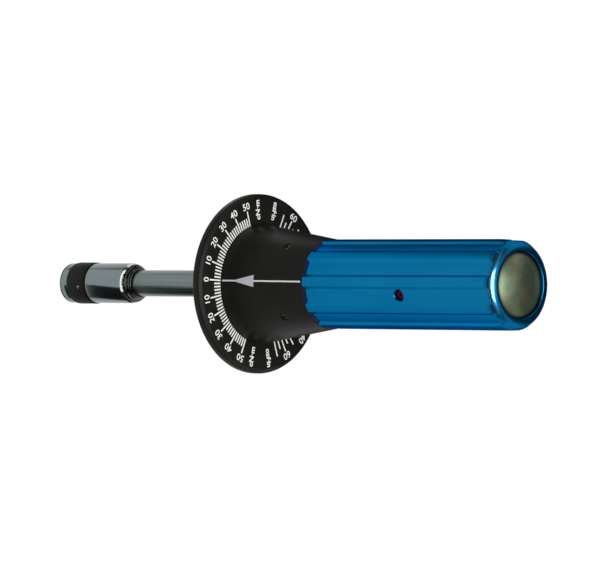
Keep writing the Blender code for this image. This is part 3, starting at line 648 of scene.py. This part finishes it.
def make_skirt():
    """Tapered collar with its screw holes."""
    seat_end = SKIRT_HIGH.x
    seat_radius = SKIRT_END_RADIUS - SEAT_SLOPE * (seat_end - SKIRT_SLOPE_END)
    outline = [
        (SKIRT_BASE, BORE),
        (SKIRT_BASE, SKIRT_BASE_RADIUS),
        (SKIRT_SLOPE_END, SKIRT_END_RADIUS),
        (seat_end, seat_radius),
        (seat_end, BORE),
    ]
    skirt = lathe("pointer_collar", outline, 240, ease=0.00025)
    surface = skirt_radius(SKIRT_SCREW_X)
    cutters = []
    for number in range(4):
        angle = 45.0 + 90.0 * number
        inner = radial(SKIRT_SCREW_X, BORE * 0.6, angle)
        outer = radial(SKIRT_SCREW_X, surface * 1.1, angle)
        cutters.append(rod(f"skirt_hole_{number}", inner, outer, SKIRT_SCREW_RADIUS + GAP, 40))
        node = f"skirt_screw_{number + 1}"
        tip = radial(SKIRT_SCREW_X, BORE, angle)
        head = radial(SKIRT_SCREW_X, surface - SKIRT_SCREW_SUNK, angle)
        screw_with_key(node + "_fine", tip, head, SKIRT_SCREW_RADIUS, SCREW, "handle", "dark_screw", node)
    place(carve(skirt, cutters), COLLAR, "handle", "black_aluminium", "pointer_skirt")


def on_skirt(x, across, lift):
    """Point on the skirt's surface, across from the pointer's line by a length round it."""
    radius = skirt_radius(x)
    return radial(x, radius + lift, math.degrees(across / radius))


def skirt_mark(name, stations, material):
    """Thin printed mark on the skirt. Stations are (x, half width) along the pointer's line."""
    across_steps = 10
    work = bmesh.new()
    layers = []
    for lift in (-PRINT_SUNK, PRINT_HEIGHT):
        grid = []
        for x, half in stations:
            row = []
            for step in range(across_steps + 1):
                share = 2 * step / across_steps - 1
                row.append(work.verts.new(on_skirt(x, half * share, lift)))
            grid.append(row)
        layers.append(grid)
    under, over = layers
    for grid in layers:
        for row, following in zip(grid, grid[1:]):
            for a, b in zip(range(across_steps), range(1, across_steps + 1)):
                work.faces.new((row[a], row[b], following[b], following[a]))
    for low_row, high_row in ((under[0], over[0]), (under[-1], over[-1])):
        for a, b in zip(range(across_steps), range(1, across_steps + 1)):
            work.faces.new((low_row[a], low_row[b], high_row[b], high_row[a]))
    for side in (0, -1):
        for index in range(len(stations) - 1):
            first, second = under[index][side], under[index + 1][side]
            work.faces.new((first, second, over[index + 1][side], over[index][side]))
    place(finish_mesh(work, name), material, "handle", "black_aluminium")


def make_pointer():
    """White line along the skirt and the grey arrowhead that points to the scale."""
    line_half = 0.0003
    line_start, line_end = SKIRT_BASE + 0.0004, SKIRT_SLOPE_END - 0.0003
    tip_x, base_x = DIAL_FACE + 0.0065, DIAL_FACE + 0.0150
    head_half = 0.0023
    skirt_mark("pointer_line_front", [(line_start, line_half), (tip_x, line_half)], PRINT)
    skirt_mark("pointer_line_rear", [(base_x, line_half), (line_end, line_half)], PRINT)
    stations = []
    steps = 8
    for step in range(steps + 1):
        share = step / steps
        half = line_half * (1 - share) + head_half * share
        stations.append((tip_x + (base_x - tip_x) * share, half))
    skirt_mark("pointer_head", stations, ARROW)


# ---------------- dial and its scales


def make_dial():
    bore = SHAFT_RADIUS + GAP
    outline = [
        (DIAL_BACK, bore),
        (DIAL_BACK, DIAL_RADIUS - DIAL_EDGE),
        (DIAL_BACK + DIAL_EDGE, DIAL_RADIUS),
        (DIAL_FACE - DIAL_RIM_DEPTH, DIAL_RADIUS),
        (DIAL_FACE - DIAL_EDGE, DIAL_RADIUS - DIAL_EDGE),
        (DIAL_FACE, DIAL_RADIUS - DIAL_RIM_CHAMFER),
        (DIAL_FACE, bore),
    ]
    disc = lathe("scale_disc", outline, 320, ease=0.00035)
    place(disc, BLACK, "drive", "black_aluminium", "dial")


NUMBER_HEIGHT = 0.0026
CN_NUMBER_REACH, OZ_NUMBER_REACH = 0.0307, 0.0309
UNIT_HEIGHT = 0.0021
UNIT_WEIGHT = 0.030
CN_UNIT_REACH, CN_UNIT_ANGLE, CN_UNIT_STRETCH = 0.0284, 81.8, 1.15
OZ_UNIT_REACH, OZ_UNIT_ANGLE, OZ_UNIT_STRETCH = 0.0286, 100.6, 1.10


def directions(angle):
    """Outward and clockwise directions on the dial at an angle."""
    turn = math.radians(angle)
    return Vector((0.0, math.sin(turn), math.cos(turn))), Vector((0.0, math.cos(turn), -math.sin(turn)))


def dial_tick(work, outer, angle):
    """Thin radial bar printed on the dial."""
    out, side = directions(angle)
    corners = []
    for lift in (-PRINT_SUNK, PRINT_HEIGHT):
        for reach, across in ((TICK_INNER, -1), (outer, -1), (outer, 1), (TICK_INNER, 1)):
            place_at = out * reach + side * (TICK_HALF * across)
            corners.append(work.verts.new(place_at + Vector((DIAL_FACE + lift, 0.0, 0.0))))
    a, b, c, d, e, f, g, h = corners
    for face in ((a, b, c, d), (e, h, g, f), (a, e, f, b), (b, f, g, c), (c, g, h, d), (d, h, e, a)):
        work.faces.new(face)


CN_DEGREES = 1.4
CN_RANGE = 50
OZ_CENTRE = 180.6
OZ_DEGREES = 0.98861
OZ_RANGE = 70
OZ_LAST_NUMBER = 60
CN_TICK_OUTER = (0.0263, 0.0288)
OZ_TICK_OUTER = (0.0270, 0.0291)
TICK_INNER = 0.02295
TICK_HALF = 0.00029


def make_ticks():
    work = bmesh.new()
    for value in range(-CN_RANGE, CN_RANGE + 1, 2):
        outer = CN_TICK_OUTER[value % 10 == 0]
        dial_tick(work, outer, value * CN_DEGREES)
    for value in range(-OZ_RANGE, OZ_RANGE + 1, 5):
        outer = OZ_TICK_OUTER[value % 10 == 0]
        dial_tick(work, outer, OZ_CENTRE + value * OZ_DEGREES)
    place(finish_mesh(work, "scale_ticks"), PRINT, "drive", "black_aluminium")


def lettering(text, height, centre, right, up, stretch=1.06, weight=0.010):
    """Mesh points and faces of a thin printed word on the dial's face, centred on a point."""
    curve = bpy.data.curves.new("word", "FONT")
    curve.body = text
    curve.size = 1.0
    curve.extrude = 0.5
    curve.align_x = "CENTER"
    curve.align_y = "CENTER"
    curve.resolution_u = 4
    curve.offset = weight
    helper = add_object("word", curve)
    bpy.context.view_layer.update()
    evaluated = helper.evaluated_get(bpy.context.evaluated_depsgraph_get())
    mesh = bpy.data.meshes.new_from_object(evaluated)
    bpy.data.objects.remove(helper, do_unlink=True)
    cap_height = 0.70
    scale = height / cap_height
    across = [v.co.x for v in mesh.vertices]
    upward = [v.co.y for v in mesh.vertices]
    middle = ((min(across) + max(across)) / 2, (min(upward) + max(upward)) / 2)
    for vertex in mesh.vertices:
        x = (vertex.co.x - middle[0]) * scale * stretch
        y = (vertex.co.y - middle[1]) * scale
        lift = PRINT_HEIGHT if vertex.co.z > 0 else -PRINT_SUNK
        vertex.co = centre + right * x + up * y + Vector((lift, 0.0, 0.0))
    return mesh


def join_words(name, meshes):
    work = bmesh.new()
    for mesh in meshes:
        work.from_mesh(mesh)
    bmesh.ops.recalc_face_normals(work, faces=work.faces)
    mesh = bpy.data.meshes.new(name)
    work.to_mesh(mesh)
    work.free()
    for item in meshes:
        bpy.data.meshes.remove(item)
    return mesh


def number_at(value, reach, angle):
    out, side = directions(angle)
    centre = out * reach + Vector((DIAL_FACE, 0.0, 0.0))
    return lettering(str(abs(value)), NUMBER_HEIGHT, centre, side, out)


def unit_at(text, reach, angle, outward, stretch):
    """Unit word that reads outward or inward along a radius."""
    out, side = directions(angle)
    centre = out * reach + Vector((DIAL_FACE, 0.0, 0.0))
    if outward:
        return lettering(text, UNIT_HEIGHT, centre, out, -side, stretch, UNIT_WEIGHT)
    return lettering(text, UNIT_HEIGHT, centre, -out, side, stretch, UNIT_WEIGHT)


def make_lettering():
    numbers = []
    for value in range(-CN_RANGE, CN_RANGE + 1, 10):
        numbers.append(number_at(value, CN_NUMBER_REACH, value * CN_DEGREES))
    for value in range(-OZ_LAST_NUMBER, OZ_LAST_NUMBER + 1, 20):
        numbers.append(number_at(value, OZ_NUMBER_REACH, OZ_CENTRE + value * OZ_DEGREES))
    place(join_words("scale_numbers", numbers), PRINT, "drive", "black_aluminium")
    units = [
        unit_at("cN·m", CN_UNIT_REACH, CN_UNIT_ANGLE, True, CN_UNIT_STRETCH),
        unit_at("cN·m", CN_UNIT_REACH, -CN_UNIT_ANGLE, False, CN_UNIT_STRETCH),
        unit_at("ozf·in", OZ_UNIT_REACH, OZ_UNIT_ANGLE, False, OZ_UNIT_STRETCH),
        unit_at("ozf·in", OZ_UNIT_REACH, -OZ_UNIT_ANGLE, True, OZ_UNIT_STRETCH),
    ]
    place(join_words("scale_units", units), PRINT, "drive", "black_aluminium")


HUB_RADIUS, FLANGE_RADIUS, FLANGE_THICKNESS = 0.0090, 0.0135, 0.0025
GRUB_RADIUS, GRUB_TIP, GRUB_HEAD = 0.0015, 0.0053, 0.0086
SCREW_HEAD, SCREW_SHANK = 0.0019, 0.0011
KEY_DEPTH, KEY_RADIUS = 0.0008, 0.0010


def make_hub():
    """Clamping hub behind the dial, its grub screw and the three dial screws."""
    low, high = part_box("dial_hub")
    bore = SHAFT_RADIUS + GAP
    flange_back = high.x - FLANGE_THICKNESS
    outline = [
        (low.x, bore),
        (low.x, HUB_RADIUS),
        (flange_back, HUB_RADIUS),
        (flange_back, FLANGE_RADIUS),
        (high.x, FLANGE_RADIUS),
        (high.x, bore),
    ]
    hub = lathe("hub_fine", outline, FINE, ease=0.0003)
    grub_x = (low.x + flange_back) / 2
    inner, outer = radial(grub_x, 0.004, 0.0), radial(grub_x, 0.012, 0.0)
    grub_hole = rod("grub_hole", inner, outer, GRUB_RADIUS + GAP)
    place(carve(hub, [grub_hole]), ALLOY, "drive", "machined_aluminium", "dial_hub")
    tip, head = radial(grub_x, GRUB_TIP, 0.0), radial(grub_x, GRUB_HEAD, 0.0)
    screw_with_key("hub_screw_fine", tip, head, GRUB_RADIUS, SCREW, "drive", "dark_screw", "hub_screw")
    for number in range(3):
        node = f"dial_screw_{number + 1}"
        screw_low, screw_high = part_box(node)
        centre = Vector((0.0, (screw_low.y + screw_high.y) / 2, (screw_low.z + screw_high.z) / 2))
        under = flange_back - GAP
        outline = [
            (screw_low.x, 0.0),
            (screw_low.x, SCREW_HEAD),
            (under, SCREW_HEAD),
            (under, SCREW_SHANK),
            (screw_high.x, SCREW_SHANK),
            (screw_high.x, 0.0),
        ]
        screw = lathe(node + "_fine", outline, 48, ease=0.00022)
        screw.transform(Matrix.Translation(centre))
        start = centre + Vector((screw_low.x - 0.001, 0.0, 0.0))
        floor = centre + Vector((screw_low.x + KEY_DEPTH, 0.0, 0.0))
        key = rod(node + "_key", start, floor, KEY_RADIUS, 6)
        place(carve(screw, [key]), SCREW, "drive", "dark_screw", node)


# ---------------- shaft and chuck


SHAFT_BORE, SPIGOT_RADIUS, SPIGOT_END = 0.0032, 0.0044, 0.02135
SHAFT_GROOVE = (0.1572, 0.1583)
SOCKET_APOTHEM = 0.0032
BARREL_RADIUS, BARREL_BORE, BARREL_BORE_START = 0.0059, 0.00455, 0.0070
CLIP_GROOVE, CLIP_FLOOR = (0.01915, 0.02025), 0.00545
NOSE_BACK, NOSE_RADIUS, NOSE_BEVEL = -0.0129, 0.00775, 0.0005
MOUTH_DEPTH, MOUTH_FLARE, MOUTH_FOOT = 0.0010, 0.0007, 0.0003
PIN_X = -0.0034
BALL_RADIUS = 0.0016

# Outside of the tail ring, from front to back, as (x, radius)
TAIL_STEPS = (
    (0.0220, 0.0069),
    (0.02225, 0.00625),
    (0.02225, 0.0059),
    (0.02275, 0.0059),
    (0.02275, 0.0062),
    (0.02315, 0.0062),
    (0.02315, 0.0056),
    (0.02345, 0.0056),
    (0.02345, 0.00575),
)
TAIL_BORE = 0.00525

# Bore of the sleeve, from front to back, as (x, radius)
SLEEVE_BORE = (
    (-0.0090, 0.00605),
    (-0.0090, 0.00657),
    (-0.0076, 0.00657),
    (-0.0032, 0.0061),
    (0.0060, 0.0061),
)
SLEEVE_MOUTH, SLEEVE_LIP, SLEEVE_RIM = 0.00725, 0.00735, 0.00783
LIP_LENGTH = 0.0013
BAND_SEAT, BAND_OUTER = 0.0071, 0.0081
BAND_GROOVE = (-0.00965, 0.0001)
NOTCH_ANGLES, NOTCH_RADIUS = (23.0, -17.0), 0.0005
PIN_HOLE, PIN_SINK = 0.0009, 0.0013
STUD_FOOT, STUD_TOP, STUD_RADIUS, STUD_BEVEL = 0.00726, 0.0080, 0.00075, 0.00022


def make_shaft():
    """Hollow shaft: spigot, bearing length and the groove for its retaining ring."""
    outline = [
        (SHAFT_LOW.x, SHAFT_BORE),
        (SHAFT_LOW.x, SPIGOT_RADIUS),
        (SPIGOT_END, SPIGOT_RADIUS),
        (SPIGOT_END, SHAFT_RADIUS),
        (SHAFT_GROOVE[0], SHAFT_RADIUS),
        (SHAFT_GROOVE[0], SPIGOT_RADIUS),
        (SHAFT_GROOVE[1], SPIGOT_RADIUS),
        (SHAFT_GROOVE[1], SHAFT_RADIUS),
        (SHAFT_HIGH.x, SHAFT_RADIUS),
        (SHAFT_HIGH.x, SHAFT_BORE),
    ]
    shaft = lathe("shaft_fine", outline, FINE, ease=0.0001)
    place(shaft, SHAFT_STEEL, "drive", "satin_steel", "drive_shaft")


def make_chuck():
    """Barrel with the hex socket, the sprung sleeve with its grip ring, and what is behind them."""
    low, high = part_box("chuck_body")
    circumradius = SOCKET_APOTHEM / math.cos(math.radians(30.0))
    outline = [
        (BARREL_BORE_START, 0.0),
        (BARREL_BORE_START, BARREL_BORE),
        (high.x, BARREL_BORE),
        (high.x, BARREL_RADIUS),
        (CLIP_GROOVE[1], BARREL_RADIUS),
        (CLIP_GROOVE[1], CLIP_FLOOR),
        (CLIP_GROOVE[0], CLIP_FLOOR),
        (CLIP_GROOVE[0], BARREL_RADIUS),
        (NOSE_BACK, BARREL_RADIUS),
        (NOSE_BACK, NOSE_RADIUS),
        (low.x + NOSE_BEVEL, NOSE_RADIUS),
        (low.x, NOSE_RADIUS - NOSE_BEVEL),
        (low.x, circumradius + MOUTH_FLARE),
        (low.x + MOUTH_DEPTH, circumradius - MOUTH_FOOT),
        (low.x + MOUTH_DEPTH, 0.0),
    ]
    body = lathe("chuck_barrel", outline, FINE)
    socket = rod("socket", (low.x - 0.002, 0.0, 0.0), (0.0, 0.0, 0.0), circumradius, 6)
    corner = min(socket.vertices, key=lambda v: v.co.x + 0.001 * abs(v.co.z)).co
    corner_angle = math.atan2(corner.y, corner.z)
    socket.transform(Matrix.Rotation(-(math.radians(PIN_ANGLE + 30.0) - corner_angle), 4, "X"))
    inner, outer = radial(PIN_X, 0.001, PIN_ANGLE), radial(PIN_X, 0.0075, PIN_ANGLE)
    ball_hole = rod("ball_hole", inner, outer, BALL_RADIUS + GAP, 48)
    place(carve(body, [socket, ball_hole]), STEEL, "drive", "satin_steel", "chuck_body")
    make_sleeve()
    tail_low, tail_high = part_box("tail_ring")
    tail = [
        (tail_low.x, TAIL_BORE),
        (tail_low.x, TAIL_STEPS[0][1]),
        *TAIL_STEPS,
        (tail_high.x, TAIL_STEPS[-1][1]),
        (tail_high.x, TAIL_BORE),
    ]
    tail_ring = lathe("tail_ring_fine", tail, FINE, ease=0.00008)
    place(tail_ring, DARK_STEEL, "drive", "satin_steel", "tail_ring")
    ball_low, ball_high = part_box("detent_ball")
    work = bmesh.new()
    centre = Matrix.Translation((ball_low + ball_high) / 2)
    bmesh.ops.create_icosphere(work, subdivisions=4, radius=BALL_RADIUS, matrix=centre)
    ball = finish_mesh(work, "ball_fine")
    place(ball, STEEL, "detent_ball", "spring_steel", "detent_ball")
    make_spring()


def make_sleeve():
    low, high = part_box("release_sleeve")
    groove_front, groove_end = BAND_GROOVE
    outline = [
        (low.x, SLEEVE_BORE[0][1]),
        *SLEEVE_BORE,
        (SLEEVE_BORE[-1][0], SLEEVE_MOUTH),
        (high.x, SLEEVE_MOUTH),
        (high.x, SLEEVE_LIP),
        (high.x - LIP_LENGTH, SLEEVE_RIM),
        (groove_end + 0.0006, SLEEVE_RIM),
        (groove_end + 0.0003, 0.00763),
        (groove_end, BAND_SEAT),
        (groove_front, BAND_SEAT),
        (groove_front, NOSE_RADIUS),
        (low.x, NOSE_RADIUS),
    ]
    sleeve = lathe("sleeve_fine", outline, FINE, ease=0.00015)
    notches = []
    for number, angle in enumerate(NOTCH_ANGLES):
        inner, outer = radial(high.x, 0.0066, angle), radial(high.x, 0.0085, angle)
        notches.append(rod(f"sleeve_notch_{number}", inner, outer, NOTCH_RADIUS, 24))
    place(carve(sleeve, notches), SLEEVE_STEEL, "release_sleeve", "satin_steel", "release_sleeve")
    ring_low, ring_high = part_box("grip_ring")
    ring_outline = [
        (ring_low.x, SLEEVE_MOUTH),
        (ring_low.x, BAND_OUTER),
        (ring_high.x, BAND_OUTER),
        (ring_high.x, SLEEVE_MOUTH),
    ]
    ring = lathe("grip_band", ring_outline, FINE, ease=0.0003)
    inner, outer = radial(PIN_X, 0.0060, PIN_ANGLE), radial(PIN_X, 0.0100, PIN_ANGLE)
    hole = rod("pin_hole", inner, outer, PIN_HOLE, 32)
    floor, mouth = radial(PIN_X, 0.00765, PIN_ANGLE), radial(PIN_X, 0.0083, PIN_ANGLE)
    sink = rod("pin_sink", floor, mouth, PIN_HOLE, 32, PIN_SINK)
    place(carve(ring, [hole, sink]), RUBBER, "release_sleeve", "black_rubber", "grip_ring")
    foot, top = radial(PIN_X, STUD_FOOT, PIN_ANGLE), radial(PIN_X, STUD_TOP, PIN_ANGLE)
    stud = rod("grip_stud", foot, top, STUD_RADIUS, 32)
    work = bmesh.new()
    work.from_mesh(stud)
    bmesh.ops.bevel(work, geom=work.edges[:], offset=STUD_BEVEL, segments=4, affect="EDGES")
    place(finish_mesh(work, "grip_stud_fine"), POLISHED, "release_sleeve", "satin_steel", "grip_pin")


def make_spring():
    """Round-wire coil of the release spring, at its length with the sleeve at rest."""
    low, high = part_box("release_spring")
    wire, radius, turns = 0.00035, 0.00655, 5
    start, end = low.x + wire, high.x - wire
    per_turn, around = 48, 14
    work = bmesh.new()
    rings = []
    count = turns * per_turn
    for index in range(count + 1):
        angle = 360.0 * index / per_turn
        centre = radial(start + (end - start) * index / count, radius, angle)
        out = radial(0.0, 1.0, angle)
        ring = []
        for step in range(around):
            turn = 2 * math.pi * step / around
            offset = out * (wire * math.cos(turn)) + Vector((wire * math.sin(turn), 0.0, 0.0))
            ring.append(work.verts.new(centre + offset))
        rings.append(ring)
    for ring, following in zip(rings, rings[1:]):
        for step in range(around):
            ahead = (step + 1) % around
            work.faces.new((ring[step], ring[ahead], following[ahead], following[step]))
    work.faces.new(rings[0])
    work.faces.new(rings[-1])
    coil = place(finish_mesh(work, "spring_coil"), SPRING, "drive", "spring_steel", "release_spring")
    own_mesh(coil)


def finish_inner_nodes():
    """The pieces inside the tool keep their CAD shapes and take finished materials."""
    finishes = {
        BRONZE: ["front_bush", "rear_bush", "thrust_washer"],
        ALLOY: ["bearing_housing"],
        STEEL: ["anchor_block", "stop_flange", "stop_pin_1", "stop_pin_2", "spring_washer"],
        SPRING: ["torsion_bar", "stop_key", "chuck_pin", "shaft_circlip", "chuck_circlip"],
    }
    for material, names in finishes.items():
        for name in names:
            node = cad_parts[name]
            for slot in node.material_slots:
                slot.material = material


# ---------------- stage, light and camera


def self_lit(name, tone):
    """Matt grey material that can shine white, with its shader."""
    material = bpy.data.materials.new(name)
    material.use_nodes = True
    shader = material.node_tree.nodes["Principled BSDF"]
    shader.inputs["Base Color"].default_value = (tone, tone, tone, 1.0)
    shader.inputs["Specular IOR Level"].default_value = 0.0
    shader.inputs["Emission Color"].default_value = (1.0, 1.0, 1.0, 1.0)
    return material, shader


class Glow:
    """Helpers for the stage's shaders, which show the camera one tone and reflections another."""

    def __init__(self, tree):
        self.tree = tree

    def value(self, operation, *inputs):
        node = self.tree.nodes.new("ShaderNodeMath")
        node.operation = operation
        for socket, item in zip(node.inputs, inputs):
            if isinstance(item, (int, float)):
                socket.default_value = item
            else:
                self.tree.links.new(item, socket)
        return node.outputs["Value"]

    def mixed(self, seen_tone, other):
        """A tone for the camera and another for everything else."""
        share = self.tree.nodes.new("ShaderNodeLightPath").outputs["Is Camera Ray"]
        unseen = self.value("MULTIPLY", self.value("SUBTRACT", 1.0, share), other)
        return self.value("ADD", self.value("MULTIPLY", share, seen_tone), unseen)


FLOOR_SEEN, FLOOR_REFLECTED = 0.96, 0.76
SKY_SEEN = 1.0
SKY_LOW, SKY_HIGH = 0.06, 0.95
STRIP_TONE = 1.5
SKY_REAR, SKY_PATCH = (-0.30, -0.52), (0.26, 0.46)
STRIP_AT, STRIP_EDGE, STRIP_RISE = -0.10, (0.07, 0.11), (0.30, 0.45)
FLOOR_DROP, CARD_DROP = 0.0005, 0.0003


def make_floor():
    """Pale floor that lights itself, a little less bright in reflections than to the camera."""
    work = bmesh.new()
    level = Matrix.Translation((0, 0, cad_low.z - FLOOR_DROP))
    bmesh.ops.create_grid(work, x_segments=1, y_segments=1, size=30.0, matrix=level)
    mesh = finish_mesh(work, "floor")
    floor = add_object("floor", mesh)
    material, shader = self_lit("pale_floor", 0.12)
    shader.inputs["Roughness"].default_value = 0.9
    strength = Glow(material.node_tree).mixed(FLOOR_SEEN, FLOOR_REFLECTED)
    material.node_tree.links.new(strength, shader.inputs["Emission Strength"])
    mesh.materials.append(material)


def soft_box(name, direction, distance, width, height, radiance, target):
    """Soft light of a given radiance at a distance from the target, facing it."""
    light = bpy.data.lights.new(name, "AREA")
    light.shape = "RECTANGLE"
    light.size = width
    light.size_y = height
    light.energy = radiance * math.pi * width * height
    lamp = add_object(name, light)
    lamp.visible_camera = False
    way = Vector(direction).normalized()
    lamp.location = target + way * distance
    lamp.rotation_mode = "QUATERNION"
    lamp.rotation_quaternion = (-way).to_track_quat("-Z", "Y")


def card(name, grid, tone):
    """Card over a grid of points, out of the camera's sight, for the tool to reflect."""
    work = bmesh.new()
    rows = [[work.verts.new(point) for point in row] for row in grid]
    for near, far in zip(rows, rows[1:]):
        for step in range(len(near) - 1):
            work.faces.new((near[step], near[step + 1], far[step + 1], far[step]))
    mesh = finish_mesh(work, name)
    piece = add_object(name, mesh)
    material, shader = self_lit(name, 0.03)
    shader.inputs["Emission Strength"].default_value = tone
    mesh.materials.append(material)
    piece.visible_camera = False
    piece.visible_shadow = False
    piece.visible_diffuse = False


def curved_card(name, radius, ends, starts_at, stops_at, tone):
    """Card that curves round the tool between two places, each with its own first and last angle."""
    steps = 24
    grid = []
    for x, first, last in zip(ends, starts_at, stops_at):
        angles = [first + (last - first) * step / steps for step in range(steps + 1)]
        grid.append([radial(x, radius, angle) for angle in angles])
    card(name, grid, tone)


def floor_card(name, near_y, near_ends, far_y, far_ends, tone):
    """Card just over the floor, with an edge along X at each of two places across the tool."""
    level = cad_low.z - CARD_DROP
    grid = [[(x, y, level) for x in ends] for y, ends in ((near_y, near_ends), (far_y, far_ends))]
    card(name, grid, tone)


SKY_MIDDLE = Vector((-0.75, -0.30, 0.55)).normalized()


def make_world():
    """White surroundings, which reflect as a bright patch past the chuck and a strip overhead."""
    world = bpy.data.worlds.new("studio")
    bpy.context.scene.world = world
    world.use_nodes = True
    tree = world.node_tree
    background = tree.nodes["Background"]
    background.inputs["Color"].default_value = (1.0, 1.0, 1.0, 1.0)
    direction = tree.nodes.new("ShaderNodeTexCoord").outputs["Generated"]
    dot = tree.nodes.new("ShaderNodeVectorMath")
    dot.operation = "DOT_PRODUCT"
    dot.inputs[1].default_value = SKY_MIDDLE
    tree.links.new(direction, dot.inputs[0])
    glow = Glow(tree)
    split = tree.nodes.new("ShaderNodeSeparateXYZ")
    tree.links.new(direction, split.inputs["Vector"])
    along, upward = split.outputs["X"], split.outputs["Z"]
    rear = smooth_ramp(tree, along, *SKY_REAR)
    high = smooth_ramp(tree, dot.outputs["Value"], *SKY_PATCH)
    main = glow.value("MULTIPLY", glow.value("MULTIPLY", rear, high), SKY_HIGH - SKY_LOW)
    off_strip = glow.value("ABSOLUTE", glow.value("ADD", along, -STRIP_AT))
    strip = smooth_ramp(tree, off_strip, *STRIP_EDGE, STRIP_TONE, 0.0)
    strip = glow.value("MULTIPLY", strip, smooth_ramp(tree, upward, *STRIP_RISE))
    sky = glow.value("ADD", glow.value("ADD", main, SKY_LOW), strip)
    tree.links.new(glow.mixed(SKY_SEEN, sky), background.inputs["Strength"])


VIEW_ANGLE = 46.281
VIEW_TILT = 2.995
VIEW_ROLL = 0.258
VIEW_DISTANCE = 2.3775
VIEW_AIM = 0.02206
LENS = 367.65


def make_camera():
    """Camera above the handle's end, with the tool's axis level in the picture."""
    swing, tilt = math.radians(VIEW_ANGLE), math.radians(VIEW_TILT)
    face = Vector((DIAL_FACE, 0.0, 0.0))
    across, upward = math.sin(tilt), math.cos(tilt)
    way = Vector((math.cos(swing), -math.sin(swing) * across, math.sin(swing) * upward))
    data = bpy.data.cameras.new("camera")
    data.lens = LENS
    data.sensor_width = 36.0
    data.clip_start, data.clip_end = 0.01, 100.0
    camera = add_object("camera", data)
    camera.location = face + way * VIEW_DISTANCE
    target = face + Vector((VIEW_AIM, 0.0, 0.0))
    back = (camera.location - target).normalized()
    right = Vector((1.0, 0.0, 0.0))
    right = (right - back * right.dot(back)).normalized()
    up = back.cross(right)
    turned = Matrix((right, up, back)).transposed() @ Matrix.Rotation(math.radians(VIEW_ROLL), 3, "Z")
    camera.rotation_mode = "QUATERNION"
    camera.rotation_quaternion = turned.to_quaternion()
    bpy.context.scene.camera = camera


def make_stage():
    make_floor()
    make_world()
    centre = Vector((0.11, 0.0, 0.0))
    soft_box("key", (0.96, -0.04, 0.28), 1.3, 1.0, 0.7, 8.0, centre)
    soft_box("low", (-0.95, 0.0, 0.20), 1.3, 0.7, 0.12, 3.0, centre)
    curved_card("chuck_card", 0.06, (-0.062, 0.030), (-10.0, -50.0), (-92.0, -150.0), 0.0)
    floor_card("upper_card", 0.012, (0.045, 0.185), 0.10, (0.045, 0.185), 0.0)
    floor_card("far_card", 0.50, (-4.0, 0.0), 4.0, (-4.0, 0.0), 0.35)
    floor_card("lower_card", -0.042, (0.07, 0.185), -0.010, (0.07, 0.185), 0.0)
    floor_card("plug_card", -0.032, (0.222, 0.31), 0.032, (0.222, 0.31), 0.0)
    for number, side in enumerate((1, -1)):
        floor_card(f"plug_wing_{number}", side * 0.050, (0.29, 0.60), side * 0.40, (0.29, 1.5), 0.0)
    glow_grid = [[(x, 0.08, z) for z in (-0.030, 0.012)] for x in (0.030, 0.050)]
    card("collar_glow", glow_grid, 2.6)
    make_camera()
    bpy.context.scene.view_settings.view_transform = "Standard"


make_grip()
make_end_plug()
make_skirt()
make_pointer()
make_dial()
make_ticks()
make_lettering()
make_hub()
make_shaft()
make_chuck()
finish_inner_nodes()
make_stage()
